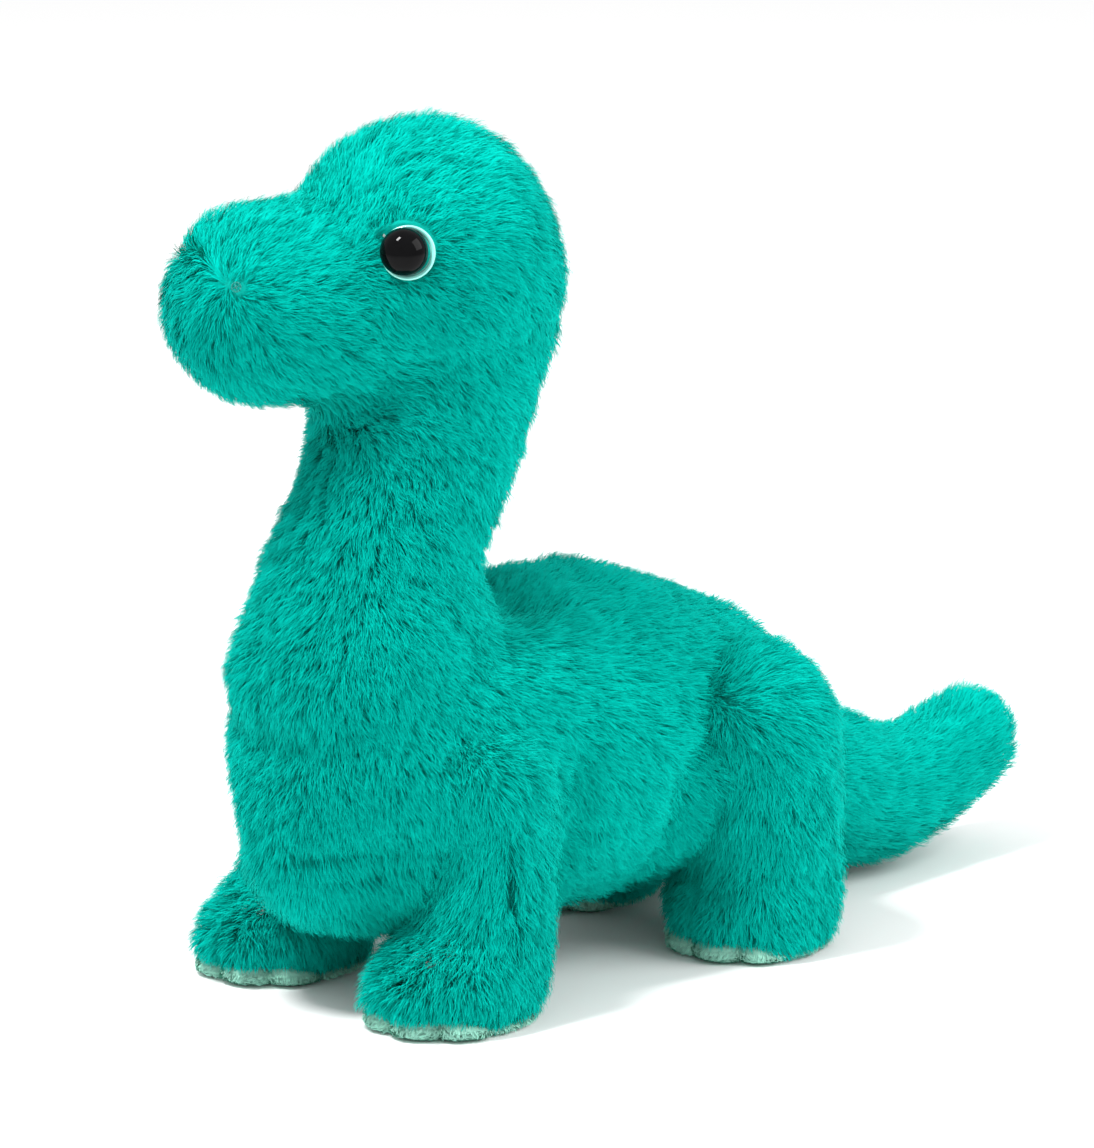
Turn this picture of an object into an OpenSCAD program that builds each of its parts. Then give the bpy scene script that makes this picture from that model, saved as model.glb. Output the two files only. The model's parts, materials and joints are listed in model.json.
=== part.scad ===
// Standing plush long-necked dinosaur: sewn pile-fabric panels over fibre stuffing.
// Millimetres. +Z is up, the toy faces -Y and its left side is +X.

/* [Fabric] */
// Thickness of a sewn panel, backing and laid pile together
panel_t = 5; // [3.5:0.5:5.5]
// Gap left along each seam between two panels
seam_gap = 0.3; // [0.2:0.1:0.6]
// Half of the angle that the chest and belly gusset covers round the body
gusset_angle = 34; // [28:1:40]

/* [Torso] */
// Half of the torso's width
torso_half_w = 43; // [41:0.5:45]
// Height of the back above the ground
back_h = 101; // [97:1:104]
// Height of the belly above the ground
belly_h = 17; // [14:1:20]

/* [Neck and head] */
// Neck radius at its base
neck_r = 26.8; // [25:0.2:27]
// Neck radius under the head
neck_top_r = 25.5; // [24:0.5:26]
// Radius of the head's round back and crown
head_r = 35; // [33:0.5:36]
// Radius of the muzzle's round front
muzzle_r = 26.5; // [25:0.5:27.5]
// Angle that the head is turned to the toy's right at rest
head_yaw = 20; // [0:1:25]

/* [Eyes and nostrils] */
// Diameter of each safety eye
eye_d = 13; // [11:0.5:14]
// Radius of the eye's post
eye_post_r = 2; // [1.5:0.25:2.5]
// Radius of the lock washer behind the fabric
washer_r = 6; // [5:0.5:7]
// Radius of a nostril's ring of thread
nostril_r = 1.5; // [1:0.25:2]

/* [Tail] */
// Tail radius at its root
tail_r = 20.5; // [19.5:0.5:21]
// Radius of the tail's round tip
tail_tip_r = 13; // [11:0.5:14]

/* [Legs] */
// Half of the distance between the left and right soles' centres
foot_half_gauge = 33; // [31:1:35]
// Half of a foot's width
foot_half_w = 23; // [21:0.5:24]
// Radius of a front leg's shoulder
shoulder_r = 19.5; // [18.5:0.5:20]
// Radius of a hind leg's haunch
haunch_r = 23.5; // [22:0.5:24]
// Thickness of a sole pad
sole_t = 3; // [2:0.5:4]

/* [Joints] */
// Clearance in each soft ball and socket
joint_gap = 0.8; // [0.5:0.1:0.9]

/* [Hidden] */
$fn = 48;

pile_teal = "#00B39C";
sole_mint = "#A9E3D2";
fibre_white = "#F4F4F0";

// The middle of the toy's length, which the origin stands under
mid_y = 35.28;

// Joint centres, as [y, z] on the toy's middle plane or [x, y, z] for a leg
neck_pivot = [-51, 93];
head_pivot = [-33.5, 152];
tail_pivot = [88, 33];
shoulder = [33.5, -44, 54];
hip = [33.5, 49.5, 56];

// Ball radii of the soft joints, and how each ball faces
neck_ball = 29.5;
neck_socket_dir = [-0.2, 0.98];
head_ball = 28;
head_ball_dir = [0.2, 0.98];
tail_ball = 22.5;
tail_dir = [0.88, -0.475];

around = 24;
fine = 2;
stuff_clear = 0.25;

// A station is one ring of a padded tube: [top y, top z, bottom y, bottom z, half width, centre x]

// The same ring with every point moved inwards by t
function inset(s, t) =
    let (top = [s[0], s[1]], low = [s[2], s[3]], d = (top - low) / norm(top - low))
    concat(top - d * t, low + d * t, [s[4] - t, s[5]]);

function inset_all(rows, t) = [for (s = rows) inset(s, t)];

// A round ring of radius r about the point c, square to the direction dir
function round_ring(c, dir, r, side = 1, x = 0) =
    let (d = dir / norm(dir), up = side * [-d[1], d[0]])
    concat(c + up * r, c - up * r, [r, x]);

// A ring on the ball of radius ball about c, at an angle from its equator towards dir
function ball_ring(c, dir, ball, angle, side = 1, x = 0) =
    let (d = dir / norm(dir))
    round_ring(c + d * ball * sin(angle), d, ball * cos(angle), side, x);

// A ring of radius r on the same ball
function ball_ring_r(c, dir, ball, r, side = 1, x = 0) =
    ball_ring(c, dir, ball, acos(r / ball), side, x);

function blend_row(p0, p1, p2, p3, t) =
    0.5 * (2 * p1 + (p2 - p0) * t + (2 * p0 - 5 * p1 + 4 * p2 - p3) * t * t
        + (3 * p1 - 3 * p2 + p3 - p0) * t * t * t);

// The stations with n steps of a smooth curve between each pair
function smooth(rows, n = fine) =
    let (last = len(rows) - 1)
    [
        for (i = [0:last - 1])
            for (k = [0:n - 1])
                blend_row(rows[max(i - 1, 0)], rows[i], rows[i + 1], rows[min(i + 2, last)], k / n),
        rows[last]
    ];

function ring_point(s, a) = [
    s[5] + s[4] * cos(a),
    (s[0] + s[2]) / 2 + (s[0] - s[2]) / 2 * sin(a),
    (s[1] + s[3]) / 2 + (s[1] - s[3]) / 2 * sin(a)
];

// Two triangles of a four-cornered face, turned over when flip is set
function two(a, b, c, d, flip) = flip ? [[c, b, a], [d, c, a]] : [[a, b, c], [a, c, d]];

function over(face, flip) = flip ? [for (i = [len(face) - 1:-1:0]) face[i]] : face;

// A sewn panel: the stretch of a tube between two angles, as thick as the fabric
module panel(outer, inner, from, to, flip = false) {
    cols = max(3, ceil(around * (to - from) / 360));
    rows = len(outer);
    gap = seam_gap / 2;
    function edge_angle(s, j) =
        let (trim = asin(min(0.5, gap / max(s[4], 1))))
        from + trim + (to - from - 2 * trim) * j / cols;
    function at(side, k, j) = (side * rows + k) * (cols + 1) + j;
    points = [
        for (side = [outer, inner]) for (s = side) for (j = [0:cols]) ring_point(s, edge_angle(s, j))
    ];
    skins = [
        for (k = [0:rows - 2]) for (j = [0:cols - 1]) each concat(
            two(at(0, k, j), at(0, k, j + 1), at(0, k + 1, j + 1), at(0, k + 1, j), flip),
            two(at(1, k, j), at(1, k + 1, j), at(1, k + 1, j + 1), at(1, k, j + 1), flip)
        )
    ];
    seams = [
        for (k = [0:rows - 2]) each concat(
            two(at(0, k, 0), at(0, k + 1, 0), at(1, k + 1, 0), at(1, k, 0), flip),
            two(at(0, k + 1, cols), at(0, k, cols), at(1, k, cols), at(1, k + 1, cols), flip)
        )
    ];
    last = rows - 1;
    ends = [
        for (j = [0:cols - 1]) each concat(
            two(at(0, 0, j + 1), at(0, 0, j), at(1, 0, j), at(1, 0, j + 1), flip),
            two(at(0, last, j), at(0, last, j + 1), at(1, last, j + 1), at(1, last, j), flip)
        )
    ];
    polyhedron(points, concat(skins, seams, ends));
}

// A closed padded form through all the stations
module padding(rows, flip = false) {
    count = len(rows);
    function at(k, j) = k * around + (j % around);
    points = [for (s = rows) for (j = [0:around - 1]) ring_point(s, 360 * j / around)];
    sides = [
        for (k = [0:count - 2]) for (j = [0:around - 1])
            each two(at(k, j), at(k, j + 1), at(k + 1, j + 1), at(k + 1, j), flip)
    ];
    caps = [
        over([for (j = [around - 1:-1:0]) at(0, j)], flip),
        over([for (j = [0:around - 1]) at(count - 1, j)], flip)
    ];
    polyhedron(points, concat(sides, caps));
}

// A cup of fabric: open at its first station, closed at its last
module cup(outer, inner, flip = false) {
    rows = len(outer);
    last = rows - 1;
    function at(side, k, j) = (side * rows + k) * around + (j % around);
    points = [for (side = [outer, inner]) for (s = side) for (j = [0:around - 1]) ring_point(s, 360 * j / around)];
    skins = [
        for (k = [0:rows - 2]) for (j = [0:around - 1]) each concat(
            two(at(0, k, j), at(0, k, j + 1), at(0, k + 1, j + 1), at(0, k + 1, j), flip),
            two(at(1, k, j), at(1, k + 1, j), at(1, k + 1, j + 1), at(1, k, j + 1), flip)
        )
    ];
    rim = [
        for (j = [0:around - 1]) each two(at(0, 0, j + 1), at(0, 0, j), at(1, 0, j), at(1, 0, j + 1), flip)
    ];
    tips = [
        over([for (j = [0:around - 1]) at(0, last, j)], flip),
        over([for (j = [around - 1:-1:0]) at(1, last, j)], flip)
    ];
    polyhedron(points, concat(skins, rim, tips));
}

// Torso: from the neck's socket over the chest and belly to the tail's socket
torso_wide = torso_half_w / 43;
torso_rows = [
    [-24, back_h - 4, -77, 81, 27, 0],
    [-15, back_h - 2, -84, 71, 35, 0],
    [-6, back_h - 1, -87, 60, 39.5 * torso_wide, 0],
    [3, back_h, -86, 47, 41.5 * torso_wide, 0],
    [11, back_h, -78, 36, 42.5 * torso_wide, 0],
    [18, back_h, -61, 27, 43 * torso_wide, 0],
    [25, back_h - 0.5, -38, belly_h + 3, 43.5 * torso_wide, 0],
    [35, back_h - 4, -5, belly_h, 43.5 * torso_wide, 0],
    [50, back_h - 11, 28, belly_h - 1, 42 * torso_wide, 0],
    [68, back_h - 22.5, 52, belly_h - 1, 37 * torso_wide, 0],
    [82, 67, 66, belly_h - 1.5, 29, 0],
    [94, 54, 77, 15, 20, 0]
];

function torso_skin(t) = smooth(inset_all(torso_rows, t));

// Room for a leg that swings about its joint: the ball, and a fan below it
module leg_space(joint, ball) {
    front_slope = 0.34;
    rear_slope = 0.28;
    drop = joint[2] + 5;
    wide = ball + 1.2;
    room = 15;
    reach = max(ball, foot_half_w + 0.5) + room + joint_gap;
    for (side = [-1, 1]) {
        translate([side * joint[0], joint[1], joint[2]]) sphere(ball + joint_gap);
        translate([side * (joint[0] + room), joint[1], joint[2]]) rotate([90, 0, 90])
            linear_extrude(2 * reach, center = true) polygon([
                [-wide, 0], [-wide - drop * front_slope, -drop], [wide + drop * rear_slope, -drop], [wide, 0]
            ]);
    }
}

// Everything that the torso makes room for: the neck's and the tail's balls, and the legs
module joint_spaces() {
    translate([0, neck_pivot[0], neck_pivot[1]]) sphere(neck_ball + joint_gap);
    translate([0, tail_pivot[0], tail_pivot[1]]) sphere(tail_ball + joint_gap);
    leg_space(shoulder, shoulder_r);
    leg_space(hip, haunch_r);
}

module body_piece(from, to) {
    color(pile_teal) translate([0, -mid_y, 0]) difference() {
        panel(torso_skin(0), torso_skin(panel_t), from, to);
        joint_spaces();
    }
}

module body_panel_left() { body_piece(gusset_angle - 90, 90); }
module body_panel_right() { body_piece(90, 270 - gusset_angle); }
module underbody_gusset() { body_piece(270 - gusset_angle, 270 + gusset_angle); }

module body_stuffing() {
    color(fibre_white) translate([0, -mid_y, 0]) difference() {
        padding(torso_skin(panel_t + stuff_clear));
        joint_spaces();
    }
}

// Neck: a padded tube that leans back as it rises, with a ball at each end
neck_foot_r = neck_r - 0.3;
neck_rows = [
    round_ring(neck_pivot, [-0.05, 1], neck_r, -1),
    round_ring([-50.5, 105], [0.15, 1], neck_r - 0.2, -1),
    round_ring([-46, 118], [0.35, 1], neck_r - 0.6, -1),
    round_ring([-40, 131], [0.4, 1], neck_top_r + 0.4, -1),
    round_ring([-36, 143], [0.3, 1], neck_top_r, -1),
    round_ring(head_pivot, [0.2, 1], neck_top_r, -1)
];

function neck_skin(t) = smooth(concat(
    [ball_ring_r(neck_pivot, -neck_socket_dir, neck_ball, neck_foot_r - t, 1)],
    inset_all(neck_rows, t),
    [ball_ring_r(head_pivot, head_ball_dir, head_ball, neck_top_r - t, -1)]
));

module neck_piece(from, to) {
    color(pile_teal) translate([0, -mid_y, 0])
        panel(neck_skin(0), neck_skin(panel_t), from, to, true);
}

module neck_panel_left() { neck_piece(gusset_angle - 90, 90); }
module neck_panel_right() { neck_piece(90, 270 - gusset_angle); }
module throat_gusset() { neck_piece(270 - gusset_angle, 270 + gusset_angle); }

module neck_stuffing() {
    t = panel_t + stuff_clear;
    foot = [for (f = [0.15, 0.4, 0.7]) ball_ring_r(neck_pivot, -neck_socket_dir, neck_ball, f * (neck_foot_r - t), 1)];
    crown = [for (f = [0.7, 0.4, 0.15]) ball_ring_r(head_pivot, head_ball_dir, head_ball, f * (neck_top_r - t), -1)];
    color(fibre_white) translate([0, -mid_y, 0]) padding(concat(foot, neck_skin(t), crown), true);
}

// Head, in its own frame: facing -Y, with the middle of its round back at head_centre
head_centre = [-30, 191.5];
muzzle_centre = [-46, -8];
head_stations = [
    [-9, head_r + 0.6, -4, -head_r - 0.6, head_r - 0.3, 0],
    [-20, head_r - 2.5, -9, -head_r - 1, head_r - 1.5, 0],
    [-28, head_r - 7.5, -14, -head_r - 1, head_r - 3.5, 0]
];
muzzle_seam = [-35, 20, -20, -head_r - 0.5, 29.5, 0];
muzzle_stations = [
    [-41, 18.6, -32, -35.2, 27.8, 0]
];

function head_back(t) = [for (a = [87, 74, 56, 38, 19, 0]) ball_ring([0, 0.3], [1, 0], head_r - t, a, 1)];
function head_skin(t) = concat(head_back(t), smooth(inset_all(concat(head_stations, [muzzle_seam]), t)));
function muzzle_front(t) = [for (a = [0, 19, 38, 56, 74]) ball_ring(muzzle_centre, [-1, 0], muzzle_r - t, a, -1)];
function muzzle_skin(t) = concat(smooth(inset_all(concat([muzzle_seam], muzzle_stations), t)), muzzle_front(t));

module on_head() {
    translate([0, -mid_y, 0]) translate([0, head_centre[0], head_centre[1]]) rotate([0, 0, -head_yaw]) children();
}

// Where an eye sits: the point on the pile's surface, and the way that it faces
eye_place = [31.5, -20, 7];
eye_turn = 62;
eye_tilt = 12;
eye_r = eye_d / 2;
eye_dome_h = 5.2;
eye_flange_t = 1;
backing_t = 1.3;
washer_t = 1.6;
washer_sink = 3.8;
post_len = 8;

// Puts its children on the left or right eye's axis, which runs out of the head along +Z
module on_eye(side) {
    translate([side * eye_place[0], eye_place[1], eye_place[2]])
        rotate([0, 0, side * eye_turn]) rotate([90 - eye_tilt, 0, 0]) children();
}

// Depth of the fabric's backing under the pile's surface at an eye
eye_seat = panel_t - backing_t;

module eye_hole(side) {
    on_eye(side) {
        translate([0, 0, -eye_seat]) cylinder(h = 20, r = eye_r + 0.4);
        translate([0, 0, -2 * panel_t]) cylinder(h = 2 * panel_t, r = eye_post_r + 0.15);
    }
}

module ball_of_neck() {
    translate([0, head_pivot[0], head_pivot[1]]) sphere(head_ball + joint_gap);
}

module head_piece(side, from, to) {
    color(pile_teal) difference() {
        on_head() difference() {
            panel(head_skin(0), head_skin(panel_t), from, to, true);
            eye_hole(side);
        }
        translate([0, -mid_y, 0]) ball_of_neck();
    }
}

module head_panel_left() { head_piece(1, -90, 90); }
module head_panel_right() { head_piece(-1, 90, 270); }

module muzzle_cover() {
    color(pile_teal) difference() {
        on_head() translate([0, -seam_gap, 0]) cup(muzzle_skin(0), muzzle_skin(panel_t), true);
        translate([0, -mid_y, 0]) ball_of_neck();
    }
}

module head_stuffing() {
    t = panel_t + stuff_clear;
    front = muzzle_skin(t + seam_gap);
    color(fibre_white) difference() {
        on_head() difference() {
            padding(concat(head_back(t), smooth(inset_all(head_stations, t)), front), true);
            for (side = [-1, 1])
                on_eye(side) translate([0, 0, -panel_t - post_len - 2]) cylinder(h = post_len + 8, r = washer_r + 0.5);
        }
        translate([0, -mid_y, 0]) ball_of_neck();
    }
}

// A safety eye: a flange on the fabric, a domed front and a post that goes through to the washer
module eye(side) {
    ball = (eye_r * eye_r + eye_dome_h * eye_dome_h) / (2 * eye_dome_h);
    top = -eye_seat + eye_flange_t;
    color("black") on_head() on_eye(side) {
        translate([0, 0, -eye_seat + 0.1]) cylinder(h = eye_flange_t, r = eye_r);
        intersection() {
            translate([0, 0, top + eye_dome_h - ball]) sphere(ball);
            translate([0, 0, top]) cylinder(h = eye_dome_h + 1, r = eye_r);
        }
        translate([0, 0, -eye_seat - post_len]) cylinder(h = post_len + 0.5, r = eye_post_r);
    }
}

module eye_left() { eye(1); }
module eye_right() { eye(-1); }

module eye_washer(side) {
    color("white") on_head() on_eye(side) translate([0, 0, -panel_t - washer_sink - washer_t]) difference() {
        cylinder(h = washer_t, r = washer_r);
        translate([0, 0, -1]) cylinder(h = washer_t + 2, r = eye_post_r + 0.05);
    }
}

module eye_washer_left() { eye_washer(1); }
module eye_washer_right() { eye_washer(-1); }

// Each nostril is a small ring of embroidery thread round a knot
nostril_thread_r = 0.5;
nostril_turn = 54;
nostril_lift = 16;

module nostril_stitches() {
    color("darkslategray") on_head() for (side = [-1, 1])
        translate([0, muzzle_centre[0], muzzle_centre[1]])
            rotate([0, 0, side * nostril_turn]) rotate([90 - nostril_lift, 0, 0])
                translate([0, 0, muzzle_r - 0.2]) {
                    rotate_extrude() translate([nostril_r, 0]) circle(nostril_thread_r);
                    translate([0, 0, -0.6]) cylinder(h = 0.9, r = nostril_r);
                }
}

// Tail: a tapering padded tube that trails on the ground and lifts at its tip
tail_rows = [
    round_ring(tail_pivot, tail_dir, tail_r + 0.3),
    round_ring([98, 28.5], [0.9, -0.4], tail_r),
    round_ring([109, 24], [0.95, -0.3], tail_r - 0.8),
    round_ring([120, 21], [1, -0.1], tail_r - 2.2),
    round_ring([133, 20.5], [1, 0.1], tail_r - 3.5),
    round_ring([146, 23], [1, 0.3], tail_tip_r + 2.2)
];
tail_tip = [157.5, 27];
tail_tip_dir = [0.9, 0.4];
tail_foot_r = tail_r;

function tail_skin(t) = concat(
    smooth(concat([ball_ring_r(tail_pivot, -tail_dir, tail_ball, tail_foot_r - t, -1)], inset_all(tail_rows, t))),
    [for (a = [0, 22, 44, 66, 84]) ball_ring(tail_tip, tail_tip_dir, tail_tip_r - t, a, 1)]
);

module tail_piece(from, to) {
    color(pile_teal) translate([0, -mid_y, 0]) panel(tail_skin(0), tail_skin(panel_t), from, to);
}

module tail_panel_left() { tail_piece(-90, 90); }
module tail_panel_right() { tail_piece(90, 270); }

module tail_stuffing() {
    t = panel_t + stuff_clear;
    root = [for (f = [0.15, 0.4, 0.7]) ball_ring_r(tail_pivot, -tail_dir, tail_ball, f * (tail_foot_r - t), -1)];
    color(fibre_white) translate([0, -mid_y, 0]) padding(concat(root, tail_skin(t)));
}

// Legs: stations from the sole up, for the left side; [height, rear y, front y, half width, centre x]
foot_k = foot_half_w / 23;
front_leg_rows = [
    [sole_t + 0.2, -28, -77, 22 * foot_k, foot_half_gauge],
    [8, -27, -78.5, 23 * foot_k, foot_half_gauge],
    [14, -26.5, -76.5, 22.8 * foot_k, foot_half_gauge],
    [22, -25.5, -71, 22 * foot_k, foot_half_gauge + 0.5],
    [33, -24.5, -65.5, shoulder_r + 0.5, foot_half_gauge + 0.8],
    [44, -24.5, -64.3, shoulder_r, foot_half_gauge + 0.5]
];
hind_leg_rows = [
    [sole_t + 0.2, 74, 25.5, 22 * foot_k, foot_half_gauge],
    [8, 75.5, 24, 23 * foot_k, foot_half_gauge],
    [14, 75.5, 24, 22.8 * foot_k, foot_half_gauge],
    [24, 75, 24, 22.3 * foot_k, foot_half_gauge + 0.3],
    [36, 74.5, 24.5, haunch_r - 1, foot_half_gauge + 0.5],
    [47, 73.3, 25.7, haunch_r - 0.3, foot_half_gauge + 0.5]
];

function leg_stations(rows, side) = [for (r = rows) [r[1], r[0], r[2], r[0], r[3], side * r[4]]];

// The leg's skin, t inside its surface, with a ball round the joint at its top
function leg_skin(rows, joint, ball, side, t) = concat(
    smooth(inset_all(leg_stations(rows, side), t)),
    [
        for (a = [0, 20, 40, 58, 74, 86])
            ball_ring([joint[1], joint[2]], [0, 1], ball - t, a, -1, side * joint[0])
    ]
);

module leg_piece(rows, joint, ball, side, from, to) {
    color(pile_teal) translate([0, -mid_y, 0]) panel(
        leg_skin(rows, joint, ball, side, 0), leg_skin(rows, joint, ball, side, panel_t), from, to, true);
}

module leg_outer(rows, joint, ball, side) {
    leg_piece(rows, joint, ball, side, side > 0 ? -90 : 90, side > 0 ? 90 : 270);
}

module leg_inner(rows, joint, ball, side) {
    leg_piece(rows, joint, ball, side, side > 0 ? 90 : -90, side > 0 ? 270 : 90);
}

module leg_stuffing(rows, joint, ball, side) {
    color(fibre_white) translate([0, -mid_y, 0])
        padding(leg_skin(rows, joint, ball, side, panel_t + stuff_clear), true);
}

// A sole: a heel, a broad middle and four toes along the front edge
heel_r = 20;
toe_r = 6.5;
toe_count = 4;
sole_len = 50;

module sole(joint_y, side) {
    heel_y = joint_y + sole_len / 2 - heel_r;
    toe_arc_r = 17.5;
    toe_arc_y = joint_y - sole_len / 2 + toe_arc_r + toe_r;
    toe_step = 40;
    color(sole_mint) translate([side * foot_half_gauge, -mid_y, 0]) linear_extrude(sole_t) union() {
        translate([0, heel_y]) circle(heel_r);
        translate([0, toe_arc_y]) circle(toe_arc_r + 1.5);
        for (i = [0:toe_count - 1])
            translate([0, toe_arc_y]) rotate((i - (toe_count - 1) / 2) * toe_step) translate([0, -toe_arc_r]) circle(toe_r);
    }
}

front_foot_y = -52;
hind_foot_y = 50;

module front_left_leg_outer() { leg_outer(front_leg_rows, shoulder, shoulder_r, 1); }
module front_left_leg_inner() { leg_inner(front_leg_rows, shoulder, shoulder_r, 1); }
module front_left_leg_stuffing() { leg_stuffing(front_leg_rows, shoulder, shoulder_r, 1); }
module front_left_sole() { sole(front_foot_y, 1); }
module front_right_leg_outer() { leg_outer(front_leg_rows, shoulder, shoulder_r, -1); }
module front_right_leg_inner() { leg_inner(front_leg_rows, shoulder, shoulder_r, -1); }
module front_right_leg_stuffing() { leg_stuffing(front_leg_rows, shoulder, shoulder_r, -1); }
module front_right_sole() { sole(front_foot_y, -1); }
module hind_left_leg_outer() { leg_outer(hind_leg_rows, hip, haunch_r, 1); }
module hind_left_leg_inner() { leg_inner(hind_leg_rows, hip, haunch_r, 1); }
module hind_left_leg_stuffing() { leg_stuffing(hind_leg_rows, hip, haunch_r, 1); }
module hind_left_sole() { sole(hind_foot_y, 1); }
module hind_right_leg_outer() { leg_outer(hind_leg_rows, hip, haunch_r, -1); }
module hind_right_leg_inner() { leg_inner(hind_leg_rows, hip, haunch_r, -1); }
module hind_right_leg_stuffing() { leg_stuffing(hind_leg_rows, hip, haunch_r, -1); }
module hind_right_sole() { sole(hind_foot_y, -1); }

body_panel_left();
body_panel_right();
underbody_gusset();
body_stuffing();
neck_panel_left();
neck_panel_right();
throat_gusset();
neck_stuffing();
head_panel_left();
head_panel_right();
muzzle_cover();
head_stuffing();
eye_left();
eye_right();
eye_washer_left();
eye_washer_right();
nostril_stitches();
tail_panel_left();
tail_panel_right();
tail_stuffing();
front_left_leg_outer();
front_left_leg_inner();
front_left_leg_stuffing();
front_left_sole();
front_right_leg_outer();
front_right_leg_inner();
front_right_leg_stuffing();
front_right_sole();
hind_left_leg_outer();
hind_left_leg_inner();
hind_left_leg_stuffing();
hind_left_sole();
hind_right_leg_outer();
hind_right_leg_inner();
hind_right_leg_stuffing();
hind_right_sole();
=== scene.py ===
"""Looks of a plush long-necked dinosaur: puffed skins, laid pile, eyes, stitched nostrils and plush soles."""

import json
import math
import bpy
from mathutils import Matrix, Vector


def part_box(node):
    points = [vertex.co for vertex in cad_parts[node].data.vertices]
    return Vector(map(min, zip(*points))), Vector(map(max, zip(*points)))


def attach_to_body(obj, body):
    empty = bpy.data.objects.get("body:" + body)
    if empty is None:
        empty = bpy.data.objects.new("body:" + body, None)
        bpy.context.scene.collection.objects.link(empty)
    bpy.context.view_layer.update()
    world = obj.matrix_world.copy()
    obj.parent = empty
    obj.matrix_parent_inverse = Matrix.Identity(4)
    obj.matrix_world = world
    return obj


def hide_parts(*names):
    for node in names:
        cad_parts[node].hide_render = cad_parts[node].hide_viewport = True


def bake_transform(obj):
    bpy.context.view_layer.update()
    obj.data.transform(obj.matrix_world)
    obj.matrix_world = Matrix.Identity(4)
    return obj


bl_info = {
    "name": "Plush Long-Necked Dinosaur",
    "version": (1, 0, 0),
    "blender": (4, 5, 0),
    "location": "3D View > Sidebar > Plush",
    "description": "Builds the pile, padding, eyes, nostrils and soles of a plush dinosaur round its frame",
    "category": "Object",
}

import bmesh
import bpy
import numpy as np
from mathutils import Matrix, Vector
from mathutils.bvhtree import BVHTree

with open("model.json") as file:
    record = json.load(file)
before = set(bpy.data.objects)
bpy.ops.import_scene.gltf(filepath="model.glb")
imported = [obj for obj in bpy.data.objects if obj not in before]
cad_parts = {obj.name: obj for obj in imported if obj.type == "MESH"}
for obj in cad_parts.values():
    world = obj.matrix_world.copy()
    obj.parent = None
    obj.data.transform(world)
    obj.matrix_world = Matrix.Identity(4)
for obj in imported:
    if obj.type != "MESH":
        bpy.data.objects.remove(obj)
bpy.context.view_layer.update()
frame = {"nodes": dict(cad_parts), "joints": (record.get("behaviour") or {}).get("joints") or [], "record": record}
MM = 0.001
JOINTS = {j["name"]: j for j in frame["joints"]}
LEGS = ("front_left", "front_right", "hind_left", "hind_right")
# Places along the toy are measured in mm from its shoulders; the frame's own zero lies this far behind them
MID_Y = 35.28
# How much a leg's stuffing grows to close the room round it, and its filling's size against the leg's skin
LEG_STUFFING_SWELL = [1.13, 1.13, 1.05]
LEG_FILLING_SHARE = [0.82, 0.82, 0.92]
# The lowest that a fibre reaches, the most fibres in a piece and the most points combed at a time
FLOOR_GAP = 0.1 * MM
LARGEST_PIECE = 64000
GUIDE_CHUNK = 40000
# Where the eyes and nostrils sit in the head's own frame, in mm, and the ways that the left ones face
EYE_PLACE = [31.5, -20, 7]
EYE_TURN, EYE_TILT = math.radians(62), math.radians(12)
MUZZLE_MIDDLE, MUZZLE_RADIUS = [0, -46, -8], 26.5
NOSTRIL_TURN, NOSTRIL_LIFT = math.radians(54), math.radians(16)


def joint_at(name):
    return np.array(JOINTS[name]["pos_m"], float)


NECK = joint_at("neck_bend")
HEAD = joint_at("head_turn")
TAIL = joint_at("tail_swing")

# The head's own frame: facing -Y, turned to the toy's right, round its crown's middle
HEAD_MIDDLE = np.array([0, (-30 - MID_Y) * MM, 191.5 * MM])
HEAD_YAW = math.radians(-20)
HEAD_TURN = np.array([
    [math.cos(HEAD_YAW), -math.sin(HEAD_YAW), 0],
    [math.sin(HEAD_YAW), math.cos(HEAD_YAW), 0],
    [0, 0, 1],
])


def from_head(points):
    """Points in the head's own frame, in mm, as points on the toy."""
    return (np.asarray(points, float) * MM) @ HEAD_TURN.T + HEAD_MIDDLE


def to_head(points):
    return ((np.asarray(points, float) - HEAD_MIDDLE) @ HEAD_TURN) / MM


def on_toy(points):
    """Points measured along the toy in mm, as points in the frame."""
    return (np.asarray(points, float) - [0, MID_Y, 0]) * MM


def along_toy(points):
    return np.asarray(points, float) / MM + [0, MID_Y, 0]


# ---------------------------------------------------------------- settings


class PlushPile(bpy.types.PropertyGroup):
    """The pile: its fibres' sizes, how it tufts and its colours"""

    fibre_length: bpy.props.FloatProperty(
        name="Fibre Length", description="Length of the longest fibres, on the body",
        default=0.0076, unit="LENGTH")
    fibre_width: bpy.props.FloatProperty(
        name="Fibre Width", description="Width of a lock of fibres at its root",
        default=0.0002, unit="LENGTH")
    density: bpy.props.FloatProperty(
        name="Locks per mm2", description="How many locks of fibres grow on a square millimetre",
        default=6.2)
    tuft: bpy.props.FloatProperty(
        name="Tuft Size", description="Size of the tufts that the fibres gather into",
        default=0.0028, unit="LENGTH")
    gather: bpy.props.FloatProperty(
        name="Gather", description="How far a tuft's tips draw together", default=0.22, subtype="FACTOR")
    # The root and middle colours are the tip colour darkened: painted shade deep in the pile, where the locks
    # shade their own roots.
    root_shade_colour: bpy.props.FloatVectorProperty(
        name="Root Colour", description="Colour of the fibres' roots", subtype="COLOR",
        default=(0.0, 0.41, 0.34))
    middle_shade_colour: bpy.props.FloatVectorProperty(
        name="Middle Colour", description="Colour half way up", subtype="COLOR", default=(0.0, 0.47, 0.39))
    tip_colour: bpy.props.FloatVectorProperty(
        name="Tip Colour", description="Colour of the fibres' tips", subtype="COLOR",
        default=(0.001, 0.52, 0.43))


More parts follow.
